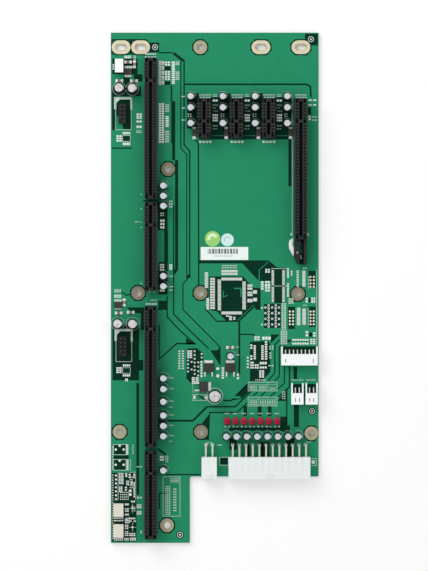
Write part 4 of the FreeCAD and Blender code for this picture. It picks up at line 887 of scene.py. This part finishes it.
    # Fired ceramic: a dry brown-grey.
    mottled("ceramic", "#6B6158", "#8A7E72", 0.4, (0.45, 0.6), 0.006)
    # Uncoated paper with soft fibres.
    mottled("uncoated_paper", shade(paint.paper, 0.93), paint.paper, 0.7, (0.7, 0.85), 0.01)
    # Bright dyed sticker paper.
    mottled("dyed_paper", shade(paint.green_paper, 0.85), paint.green_paper, 1.5, (0.6, 0.75), 0.008)
    # Faded grey print on paper.
    mottled("grey_print", "#8A93A0", "#AAB2BC", 0.6, (0.65, 0.8))
    # Black print on paper, a little starved.
    mottled("black_print", "#33393A", "#5C6465", 0.6, (0.65, 0.8))
    # Pale print on the green sticker.
    mottled("pale_green_print", "#CFE7B4", "#E2F1CF", 0.9, (0.6, 0.75))
    # Sticker film: cool white with a faint gloss.
    mottled("pale_blue_paper", "#BFE0E4", "#D3ECEE", 1.2, (0.55, 0.7), 0.006)


# Finish of the CAD nodes, by a key that a node's name holds. The longest key counts.
NODE_FINISH = {
    "circuit_board": "masked_laminate", "slot": "glass_filled_black", "card_latch": "glass_filled_black",
    "header_base": "glass_filled_black", "power_housing": "white_nylon", "power_dividers": "white_nylon",
    "wafer_housing": "bright_nylon", "corner_housing": "bright_nylon", "edge_housing": "cream_moulding",
    "header_pins": "dark_pin", "power_pins": "brass_tail", "pins": "tinned_pin", "latch_pin": "dull_pin",
    "frame": "tinned_pin", "leads": "tinned_pin", "terminals": "tinned_pin", "body": "black_compound",
    "tantalum_capacitors": "brown_compound", "chip_capacitors": "ceramic", "paper_label": "uncoated_paper",
    "white_sticker": "pale_blue_paper", "green_sticker": "dyed_paper", "capacitor": "shrink_film",
    "lamps": "red_resin",
}


def node_finish(node):
    """Finish of a CAD node by the longest key that its name holds."""
    keys = [key for key in NODE_FINISH if key in node]
    return NODE_FINISH[max(keys, key=len)]


class BACKPLANE_OT_finishes(bpy.types.Operator):
    """Makes the materials and puts them on the solids"""

    bl_idname = "backplane.finishes"
    bl_label = "Finishes"

    def execute(self, context):
        make_finishes(context.scene.backplane_colours)
        for name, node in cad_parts.items():
            node.data.materials.clear()
            node.data.materials.append(bpy.data.materials[node_finish(name)])
        return {"FINISHED"}


class Step:
    """What the steps that build pieces share."""

    def execute(self, context):
        self.build(context.scene.backplane_sizes)
        return {"FINISHED"}


class BACKPLANE_OT_bare_gaps(Step, bpy.types.Operator):
    """Lays the bare gaps between the copper pours and the traces that cross them"""

    bl_idname = "backplane.bare_gaps"
    bl_label = "Bare gaps"

    def build(self, sizes):
        gaps = bmesh.new()
        shapes = [band(path(line), width * GRID_STEP + sizes.gap_spread) for width, line in GAP_LINES]
        # Bare fields and wedges, among them the painted shadow in the latch's gap and beside the upper
        # header.
        shapes += [path(((left, lower), (right, lower), (right, upper), (left, upper)))
                   for left, upper, right, lower in BARE_AND_SHADOW_FIELDS]
        shapes += [path(wedge) for wedge in BARE_AND_SHADOW_WEDGES]
        for i, shape in enumerate(shapes):
            prism(gaps, shape, BOARD_TOP, BOARD_TOP + sizes.gap_rise + sizes.gap_step * (i % GAP_STEPS))
        top = BOARD_TOP + sizes.gap_rise + sizes.gap_step * GAP_STEPS
        moat = ring(sizes.pad_radius * MOAT[0], sizes.pad_radius * MOAT[1], BOARD_TOP, top)
        for _, _, _, half, places in HOLES:
            for place in places:
                sweep(gaps, moat, at(*place), *OCTAGON, stretch=half * MM)
        ground = ring(AXIS, sizes.target_radius, BOARD_TOP, top)
        for place in TARGETS:
            sweep(gaps, ground, at(*place), steps=20)
        trim(gaps)
        put("bare_gaps", gaps, "bare_mask_and_painted_shadow")
        traces = bmesh.new()
        for width, line in TRACE_LINES:
            prism(traces, band(path(line), width * GRID_STEP), BOARD_TOP, BOARD_TOP + sizes.trace_rise)
        put("crossing_traces", traces, "trace_mask")


class BACKPLANE_OT_mount_rings(Step, bpy.types.Operator):
    """Plates the mounting holes and the sighting targets"""

    bl_idname = "backplane.mount_rings"
    bl_label = "Mounting rings"

    def build(self, sizes):
        outside, plating = sizes.pad_radius, sizes.plating
        low, high = BOARD_BASE - sizes.pad_rise, BOARD_TOP + sizes.pad_rise
        rims = bmesh.new()
        for name, finish, radius, half, places in HOLES:
            bore, wall, inner = (radius * MM + share * plating for share in (-1, -0.25, 1))
            section = ((bore, low), (outside, low), (outside, BOARD_BASE), (wall, BOARD_BASE),
                       (wall, BOARD_TOP), (outside, BOARD_TOP), (outside, high), (bore, high))
            rim = ring(inner, inner + sizes.rim_width, high, high + plating / 4)
            rings = bmesh.new()
            for place in places:
                sweep(rings, section, at(*place), steps=32, stretch=half * MM)
                sweep(rims, rim, at(*place), steps=32, stretch=half * MM)
            trim(rings)
            put(name, rings, finish)
        put("bore_rims", rims, "worn_rim")
        targets = bmesh.new()
        for place in TARGETS:
            for inner, outer in TARGET_RINGS:
                sweep(targets, ring(inner * MM, outer * MM, BOARD_TOP, high), at(*place), steps=20)
        put("sighting_targets", targets, "tinned_pad")


class BACKPLANE_OT_print(Step, bpy.types.Operator):
    """Prints the lines, frames, circles and small marks"""

    bl_idname = "backplane.print"
    bl_label = "Print"

    def build(self, sizes):
        top = BOARD_TOP + sizes.ink_rise
        ink = bmesh.new()
        for lines, width in ((INK_LINES, sizes.ink_width), (FINE_LINES, sizes.fine_width)):
            for line in lines:
                prism(ink, band(path(line), width), BOARD_TOP, top)
        for shape in INK_SHAPES:
            prism(ink, path(shape), BOARD_TOP, top)
        half = sizes.ink_width / GRID_STEP / 2
        for left, upper, right, lower in INK_FRAMES:
            for field in ((left - half, upper - half, right + half, upper + half),
                          (left - half, lower - half, right + half, lower + half),
                          (left - half, upper + half, left + half, lower - half),
                          (right - half, upper + half, right + half, lower - half)):
                grid_block(ink, field, BOARD_TOP, top)
        for radius, _, places, width in CANS:
            inner = (radius + CIRCLE_MARGIN) * MM
            circle = ring(inner, inner + width * MM, BOARD_TOP, top)
            start, stop = (0.0, 360.0) if radius > SMALL_RADIUS else SMALL_ARC
            for x, y in places:
                sweep(ink, circle, (x * MM, y * MM), start, stop, steps=28)
        mark = pattern("mark", unit_block)
        for fields, fill in ((INK_MARKS, MARK_FILL), (FINE_MARKS, FINE_FILL), (LAMP_LABELS, LABEL_FILL)):
            for field in fields:
                repeat_cells(ink, mark, "white_ink", field, fill, sizes.ink_rise)
        bpy.data.objects.remove(mark)
        put("white_print", ink, "white_ink")
        # The crescent takes the brighter print, as painted light against the latch's shade.
        crescent = bmesh.new()
        prism(crescent, path(CRESCENT), BOARD_TOP, top)
        put("latch_crescent", crescent, "painted_light_ink")


def put_dots(mesh, fields, hole, finish, rise):
    """Adds fields of round dots whose hole is a share of their radius."""
    dot = pattern("dot", lambda shape: sweep(shape, ring(hole, 1.0, 0.0, rise), (0, 0), steps=12))
    for left, upper, right, lower, across, down, radius in fields:
        first = at(left, upper)
        pitch_x = (right - left) * GRID_STEP / max(across - 1, 1)
        pitch_y = (lower - upper) * GRID_STEP / max(down - 1, 1)
        repeat(mesh, dot, finish, (first.x, first.y, BOARD_TOP), across, (pitch_x, 0, 0), down,
               (0, -pitch_y, 0), (radius * MM, radius * MM, 1))
    bpy.data.objects.remove(dot)


class BACKPLANE_OT_pads(Step, bpy.types.Operator):
    """Lays the tinned pads and the plated through dots"""

    bl_idname = "backplane.pads"
    bl_label = "Pads and dots"

    def build(self, sizes):
        pads, rows, dots = bmesh.new(), bmesh.new(), bmesh.new()
        pad = pattern("pad", unit_block)
        for field in PAD_FIELDS:
            repeat_cells(pads, pad, "tinned_pad", field, PAD_FILL, sizes.pad_rise)
        for field in DENSE_PADS:
            repeat_cells(rows, pad, "dull_pad", field, DENSE_FILL, sizes.pad_rise)
        bpy.data.objects.remove(pad)
        put_dots(pads, DOT_FIELDS, OPEN_DOT, "tinned_pad", sizes.pad_rise)
        put_dots(pads, SOLDER_DOTS, FILLED_DOT, "tinned_pad", sizes.pad_rise)
        put("tinned_pads", pads, "tinned_pad")
        put("pad_rows", rows, "dull_pad")
        put_dots(dots, PIN_DOTS, FILLED_DOT, "plated_dot", sizes.pad_rise)
        put("plated_dots", dots, "plated_dot")


def contact_runs(below):
    """First contact's offset from a slot's upper end and number of contacts, above and below the key."""
    return ((FIRST_CONTACT, ABOVE_KEY), (BELOW_KEY, below))


def spring(side, wall, half):
    """Function that builds the bowed nose of a contact on one side of the channel."""
    def build(mesh):
        bow = [(side * (wall + out * MM), z * MM) for out, z in SPRING_BOW]
        near = [mesh.verts.new((x, -half, z)) for x, z in bow]
        far = [mesh.verts.new((x, half, z)) for x, z in bow]
        mesh.faces.new(near)
        mesh.faces.new(far[::-1])
        for i in range(len(bow)):
            j = (i + 1) % len(bow)
            mesh.faces.new((near[i], far[i], far[j], near[j]))
    return build


class BACKPLANE_OT_contacts(Step, bpy.types.Operator):
    """Sets the ribs and the spring contacts into the slots"""

    bl_idname = "backplane.contacts"
    bl_label = "Slot contacts"

    def build(self, sizes):
        ribs, contacts, edges = bmesh.new(), bmesh.new(), bmesh.new()
        across, thick = sizes.chamber_width / 2, sizes.rib_thickness / 2
        reach, broad = sizes.side_rib_reach, sizes.side_rib_thickness / 2
        rib = pattern("rib", lambda mesh: block(
            mesh, -across, -thick, across, thick, -sizes.chamber_depth, -RIB_DROP))
        side_rib = pattern("side_rib", lambda mesh: block(
            mesh, -reach, -broad, reach, broad, BOARD_TOP - SLOT_TOP, -SIDE_RIB_DROP))
        wall = sizes.channel_half
        springs = [pattern("spring", spring(side, wall, sizes.contact_width / 2)) for side in (-1, 1)]
        near, crest = wall + LEAD_SETBACK, SLOT_TOP + LEAD_RISE
        for middle, upper, below in SLOTS:
            x = middle * MM
            for offset, count in contact_runs(below):
                first = (upper - offset) * MM
                for side, nose in zip((-1, 1), springs):
                    repeat(contacts, nose, "gold_contact", (x, first, SLOT_TOP), count, (0, -SLOT_PITCH, 0))
                    # A comb at the contacts' own pitch is too fine to show, so every other rib is left out.
                    for shape, aside in ((rib, sizes.chamber_offset), (side_rib, SLOT_HALF)):
                        start = (x + side * aside, first - SLOT_PITCH / 2, SLOT_TOP)
                        repeat(ribs, shape, "ribbed_edge", start, count // 2, (0, -2 * SLOT_PITCH, 0))
            # Pale strips beside the channel and over the key's crest: painted highlight on the lead-in's
            # chamfer.
            for first, last in ((LEAD_START, KEY_GAP[0]), (KEY_GAP[1], KEY_GAP[1] + below + LEAD_OVERRUN)):
                for side in (-1, 1):
                    left, right = sorted((x + side * near, x + side * (near + sizes.lead_in)))
                    block(edges, left, (upper - last) * MM, right, (upper - first) * MM, SLOT_TOP, crest)
            block(edges, x - near, (upper - KEY_CREST[1]) * MM, x + near, (upper - KEY_CREST[0]) * MM,
                  SLOT_TOP, crest)
        for shape in (rib, side_rib, *springs):
            bpy.data.objects.remove(shape)
        put("slot_lead_ins", edges, "painted_highlight_plastic")
        put("slot_ribs", ribs, "ribbed_edge")
        put("slot_contacts", contacts, "gold_contact")


class BACKPLANE_OT_underside(Step, bpy.types.Operator):
    """Solders the tails of the slots and the power inlets under the board"""

    bl_idname = "backplane.underside"
    bl_label = "Underside joints"

    def build(self, sizes):
        joints = bmesh.new()
        half, reach, radius = sizes.tail_width / 2, sizes.tail_reach, sizes.solder_radius

        def tail(mesh):
            """Builds a square tail in its solder cone."""
            block(mesh, -half, -half, half, half, -reach, 0.0)
            cone = ((half * 0.7, 0.0), (radius, 0.0), (radius * 0.72, -0.2 * MM), (half * 1.5, -0.6 * MM),
                    (half * 0.7, -0.65 * MM))
            sweep(mesh, cone, (0, 0), steps=8)

        shape = pattern("tail", tail)
        for middle, upper, below in SLOTS:
            for offset, count in contact_runs(below):
                for stagger, aside in TAIL_ROWS:
                    y = (upper - offset) * MM - stagger * SLOT_PITCH
                    number = (count + 1 - stagger) // 2
                    for side in (-1, 1):
                        start = ((middle + side * aside) * MM, y, BOARD_BASE)
                        repeat(joints, shape, "solder", start, number, (0, -2 * SLOT_PITCH, 0))
        for middle, columns in POWER_INLETS:
            for row in POWER_ROWS:
                start = ((middle - POWER_PITCH * (columns - 1) / 2) * MM, row * MM, BOARD_BASE)
                repeat(joints, shape, "solder", start, columns, (POWER_PITCH * MM, 0, 0), size=POWER_JOINT)
        bpy.data.objects.remove(shape)
        put("solder_joints", joints, "solder")


class BACKPLANE_OT_cans(Step, bpy.types.Operator):
    """Builds the electrolytic cans with their sleeves, scored tops and stripes"""

    bl_idname = "backplane.cans"
    bl_label = "Cans"

    def build(self, sizes):
        sleeves, stripes = bmesh.new(), bmesh.new()
        small_tops, large_tops = bmesh.new(), bmesh.new()
        lip, rise = sizes.can_lip, sizes.stripe_rise
        low = BOARD_TOP + CAN_GAP
        neck = low + GROOVE_START
        shoulder = neck + 2 * GROOVE_HALF
        score = VENT_HALF * math.sqrt(2)
        arc = (-STRIPE_HALF, STRIPE_HALF)
        for radius_mm, height, places, _ in CANS:
            radius, high = radius_mm * MM, BOARD_TOP + height * MM
            curl = [(radius + r * MM, high + z * MM) for r, z in CURL_EDGE]
            curl += [(radius - lip + r * MM, high + z * MM) for r, z in CURL_LIP]
            sleeve = ((radius - lip, low), (radius, low), (radius, neck),
                      (radius - GROOVE_DEPTH, neck + GROOVE_HALF), (radius, shoulder), *curl)
            outside = [(r + rise, z + (rise if i else 0)) for i, (r, z) in enumerate(curl[:-1])]
            foot = shoulder + STRIPE_START
            stripe = ((radius - STRIPE_DEPTH, foot), (radius + rise, foot), *outside,
                      (radius - lip + STRIPE_DEPTH, high - STRIPE_DEPTH / 2))
            plate = ring(AXIS, radius - lip, high - TOP_BASE, high - TOP_FACE)
            turns, span = ((45, 135, 225, 315), 90.0) if radius_mm > SCORED_RADIUS else ((0,), 360.0)

            def metal_top(mesh):
                """Builds a whole plate, or the four quarters that a vent parts."""
                for turn in turns:
                    aside = (score * math.cos(math.radians(turn)), score * math.sin(math.radians(turn)))
                    sweep(mesh, plate, aside, turn - span / 2, turn + span / 2, round(span / 13))

            shapes = (
                (sleeves, "shrink_film", lambda mesh: sweep(mesh, sleeve, (0, 0), steps=28)),
                (stripes, "can_stripe", lambda mesh: sweep(mesh, stripe, (0, 0), *arc, steps=6)),
                (small_tops if radius_mm <= SMALL_RADIUS else large_tops, "can_top", metal_top),
            )
            for target, finish, build in shapes:
                shape = pattern("can", build)
                for x, y in places:
                    repeat(target, shape, finish, (x * MM, y * MM, 0))
                bpy.data.objects.remove(shape)
        piece = put("can_sleeves", sleeves, "shrink_film", smooth=True)
        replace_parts(piece, "small_capacitors", "large_capacitors", "bulk_capacitor")
        put("small_can_tops", small_tops, "can_top", smooth=True)
        # The large tops' dark and white patches are painted reflections.
        put("large_can_tops", large_tops, "can_top_painted_reflections", smooth=True)
        put("can_stripes", stripes, "can_stripe", smooth=True)


class BACKPLANE_OT_chip_ends(Step, bpy.types.Operator):
    """Tins the ends and the pads of the chip capacitors and marks the tantalum capacitors"""

    bl_idname = "backplane.chip_ends"
    bl_label = "Chip ends"

    def build(self, sizes):
        skin = sizes.stripe_rise
        long, wide, tall = (v * MM for v in CHIP_SIZE)
        past_end, past_side = (v * MM for v in CHIP_PAD)
        ends, bars = bmesh.new(), bmesh.new()
        shell = (long / 2 - CHIP_END * MM, long / 2 + skin, wide / 2 + skin, tall + skin)
        foot = (long / 2 + skin, long / 2 + past_end, wide / 2 + past_side, sizes.pad_rise)
        for x, y, flat in CHIPS:
            for side in (-1, 1):
                for near, far, half, rise in (shell, foot):
                    low, high = sorted((side * near, side * far))
                    box = (low, -half, high, half) if flat else (-half, low, half, high)
                    box = [place * MM + part for place, part in zip((x, y, x, y), box)]
                    block(ends, *box, BOARD_TOP, BOARD_TOP + rise)
        across, along = (v * MM for v in TANTALUM_BAR)
        half, crest, y = TANTALUM_PAD_HALF * MM, TANTALUM_TOP * MM, TANTALUM_ROW * MM
        for middle, _, _ in CARD_SLOTS:
            x = (middle - TANTALUM_SETBACK) * MM
            block(bars, x - across, y - along, x + across, y + along, crest, crest + skin)
            for side, reach in TANTALUM_PADS:
                low, high = sorted((y + side * TANTALUM_END * MM, y + side * (TANTALUM_END + reach) * MM))
                block(ends, x - half, low, x + half, high, BOARD_TOP, BOARD_TOP + sizes.pad_rise)
        put("chip_ends", ends, "tinned_pad")
        put("tantalum_bars", bars, "black_compound")


def lamp_row(name, finish, build):
    """Mesh with one shape at every indicator lamp, made by a building function."""
    mesh = bmesh.new()
    shape = pattern(name, build)
    repeat(mesh, shape, finish, (LAMP_START * MM, LAMP_ROW * MM, BOARD_TOP), LAMPS, (LAMP_PITCH * MM, 0, 0))
    bpy.data.objects.remove(shape)
    return mesh


class BACKPLANE_OT_lamps(Step, bpy.types.Operator):
    """Builds the row of red indicator lamps"""

    bl_idname = "backplane.lamps"
    bl_label = "Lamps"

    def build(self, sizes):
        low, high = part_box("indicator_lamps")
        depth = (high.y - low.y) / 2
        width = (high.x - low.x - (LAMPS - 1) * LAMP_PITCH * MM) / 2
        top = high.z - BOARD_TOP
        collar = [(width * out, top * up) for out, up in LENS_COLLAR]
        dome = [(width * math.cos(a), top * (DOME_START + (1 - DOME_START) * math.sin(a)))
                for a in map(math.radians, DOME_ANGLES)]
        section = ((AXIS, LENS_GAP), (width, LENS_GAP), *collar, *dome, (AXIS, top))

        def lens(mesh):
            """Builds one oval lens that stands across the row."""
            sweep(mesh, section, (0, 0), steps=24, stretch=depth - width)
            for vert in mesh.verts:
                vert.co.x, vert.co.y = -vert.co.y, vert.co.x

        lenses = lamp_row("lens", "red_resin", lens)
        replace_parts(put("lamp_lenses", lenses, "red_resin", smooth=True), "indicator_lamps")
        # Dark cups in the lenses: the die's cup, and a painted dark reflection in the middle of each dome.
        reach, base = width * CUP[0], top * CUP[1]
        cup = ((AXIS, base), (reach, base), (reach, top), (AXIS, top + 0.02 * MM))
        cups = lamp_row("cup", "die_cup_and_painted_reflection", lambda mesh: sweep(mesh, cup, (0, 0), steps=12))
        put("lamp_cups", cups, "die_cup_and_painted_reflection")


def print_arc(node, name, finish, share):
    """Prints a plain arc on a round sticker between two shares of its radius."""
    low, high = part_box(node)
    middle, radius = (low + high) / 2, (high.x - low.x) / 2
    section = ring(share[0] * radius, share[1] * radius, high.z, high.z + LABEL_RISE)
    arc = bmesh.new()
    sweep(arc, section, middle, *STICKER_ARC, 20)
    put(name, arc, finish)


class BACKPLANE_OT_label_print(Step, bpy.types.Operator):
    """Prints plain bars on the paper label and plain arcs on the stickers"""

    bl_idname = "backplane.label_print"
    bl_label = "Label print"

    def build(self, sizes):
        low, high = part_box("paper_label")
        top = high.z + LABEL_RISE
        for name, finish, count, widths, (start, run), (upper, lower) in LABEL_PRINT:
            bars = bmesh.new()
            for i in range(count):
                left = low.x + (high.x - low.x) * (start + run * i / count)
                right = left + widths[i % len(widths)] * MM
                block(bars, left, high.y - lower * MM, right, high.y - upper * MM, high.z, top)
            put(name, bars, finish)
        print_arc("green_sticker", "sticker_band", "pale_green_print", (0.3, 0.7))
        print_arc("white_sticker", "sticker_ring", "grey_print", (0.42, 0.52))


def soft_lamp(name, place, watts, spread):
    """Adds a square area lamp that looks at the origin."""
    data = bpy.data.lights.new(name, "AREA")
    data.energy = watts
    data.size = spread
    lamp = bpy.data.objects.new(name, data)
    lamp.location = place
    lamp.rotation_mode = "QUATERNION"
    lamp.rotation_quaternion = (-Vector(place)).to_track_quat("-Z", "Y")
    bpy.context.scene.collection.objects.link(lamp)


def seen_directly(tree):
    """Socket that is one where the eye, a mirror or glass looks at a surface."""
    light = add(tree, "ShaderNodeLightPath").outputs
    seen = light["Is Camera Ray"]
    for kind in ("Is Glossy Ray", "Is Transmission Ray"):
        seen = add(tree, "ShaderNodeMath", {0: seen, 1: light[kind]}, operation="MAXIMUM").outputs[0]
    return seen


def floor_finish(tree, shader):
    """White floor with a little glow of its own, but none under the board, so the holes show shade."""
    shader.inputs["Base Color"].default_value = (1, 1, 1, 1)
    shader.inputs["Roughness"].default_value = 0.9
    shader.inputs["Specular IOR Level"].default_value = 0.0
    white = add(tree, "ShaderNodeEmission").outputs["Emission"]
    place = add(tree, "ShaderNodeTexCoord").outputs["Object"]
    spot = add(tree, "ShaderNodeSeparateXYZ", {0: place}).outputs
    across, along = (
        add(tree, "ShaderNodeMath", {0: spot[axis], 1: middle, 2: half}, operation="COMPARE").outputs[0]
        for axis, middle, half in FLOOR_SHADE
    )
    under = add(tree, "ShaderNodeMath", {0: across, 1: along}, operation="MULTIPLY").outputs[0]
    glow = add(tree, "ShaderNodeMapRange", {"Value": under, "To Min": FLOOR_GLOW, "To Max": 0.0})
    seen = {0: seen_directly(tree), 1: glow.outputs["Result"]}
    share = add(tree, "ShaderNodeMath", seen, operation="MULTIPLY").outputs[0]
    mixed = add(tree, "ShaderNodeMixShader", {0: share, 1: shader.outputs["BSDF"], 2: white})
    tree.links.new(mixed.outputs["Shader"], tree.nodes["Material Output"].inputs["Surface"])


class BACKPLANE_OT_stage(bpy.types.Operator):
    """Sets the white floor, the soft lamps and the camera"""

    bl_idname = "backplane.stage"
    bl_label = "Stage"

    def execute(self, context):
        scene = context.scene
        scene.view_settings.view_transform = "Standard"
        floor = pattern("floor", lambda mesh: block(
            mesh, -FLOOR_HALF, -FLOOR_HALF, FLOOR_HALF, FLOOR_HALF, -FLOOR_THICK, 0.0))
        # Matt white paper sheet.
        floor_finish(*finish_base("white_floor"))
        floor.data.materials.append(bpy.data.materials["white_floor"])
        world = bpy.data.worlds.new("white_room")
        world.use_nodes = True
        scene.world = world
        tree = world.node_tree
        seen = seen_directly(tree)
        strength = add(tree, "ShaderNodeMapRange", {"Value": seen, "To Min": ROOM_LIGHT, "To Max": 1.0})
        tree.links.new(strength.outputs["Result"], tree.nodes["Background"].inputs["Strength"])
        tree.nodes["Background"].inputs["Color"].default_value = (1, 1, 1, 1)
        for name, settings in STAGE_LAMPS.items():
            soft_lamp(name, *settings)
        eye = bpy.data.cameras.new("camera")
        eye.lens = CAMERA_LENS
        eye.sensor_width = CAMERA_SENSOR
        camera = bpy.data.objects.new("camera", eye)
        camera.location = CAMERA_PLACE
        scene.collection.objects.link(camera)
        scene.camera = camera
        return {"FINISHED"}


class BACKPLANE_PT_panel(bpy.types.Panel):
    """Sizes, colours and steps of the backplane"""

    bl_idname = "BACKPLANE_PT_panel"
    bl_label = "Backplane"
    bl_space_type = "VIEW_3D"
    bl_region_type = "UI"
    bl_category = "Backplane"

    def draw(self, context):
        for step in STEPS:
            self.layout.operator(step.bl_idname)
        for group in (context.scene.backplane_sizes, context.scene.backplane_colours):
            for name in group.__annotations__:
                self.layout.prop(group, name)


STEPS = (
    BACKPLANE_OT_finishes, BACKPLANE_OT_bare_gaps, BACKPLANE_OT_mount_rings, BACKPLANE_OT_print,
    BACKPLANE_OT_pads, BACKPLANE_OT_contacts, BACKPLANE_OT_underside, BACKPLANE_OT_cans,
    BACKPLANE_OT_chip_ends, BACKPLANE_OT_lamps, BACKPLANE_OT_label_print, BACKPLANE_OT_stage,
)
CLASSES = (BackplaneSizes, BackplaneColours, *STEPS, BACKPLANE_PT_panel)


def register():
    """Adds the classes and the scene's settings."""
    for cls in CLASSES:
        bpy.utils.register_class(cls)
    bpy.types.Scene.backplane_sizes = bpy.props.PointerProperty(type=BackplaneSizes)
    bpy.types.Scene.backplane_colours = bpy.props.PointerProperty(type=BackplaneColours)


def unregister():
    """Takes the classes and the scene's settings away."""
    del bpy.types.Scene.backplane_colours
    del bpy.types.Scene.backplane_sizes
    for cls in reversed(CLASSES):
        bpy.utils.unregister_class(cls)


def main():
    """Runs every step in order."""
    register()
    for step in STEPS:
        group, name = step.bl_idname.split(".")
        getattr(getattr(bpy.ops, group), name)()


if __name__ == "__main__":
    main()
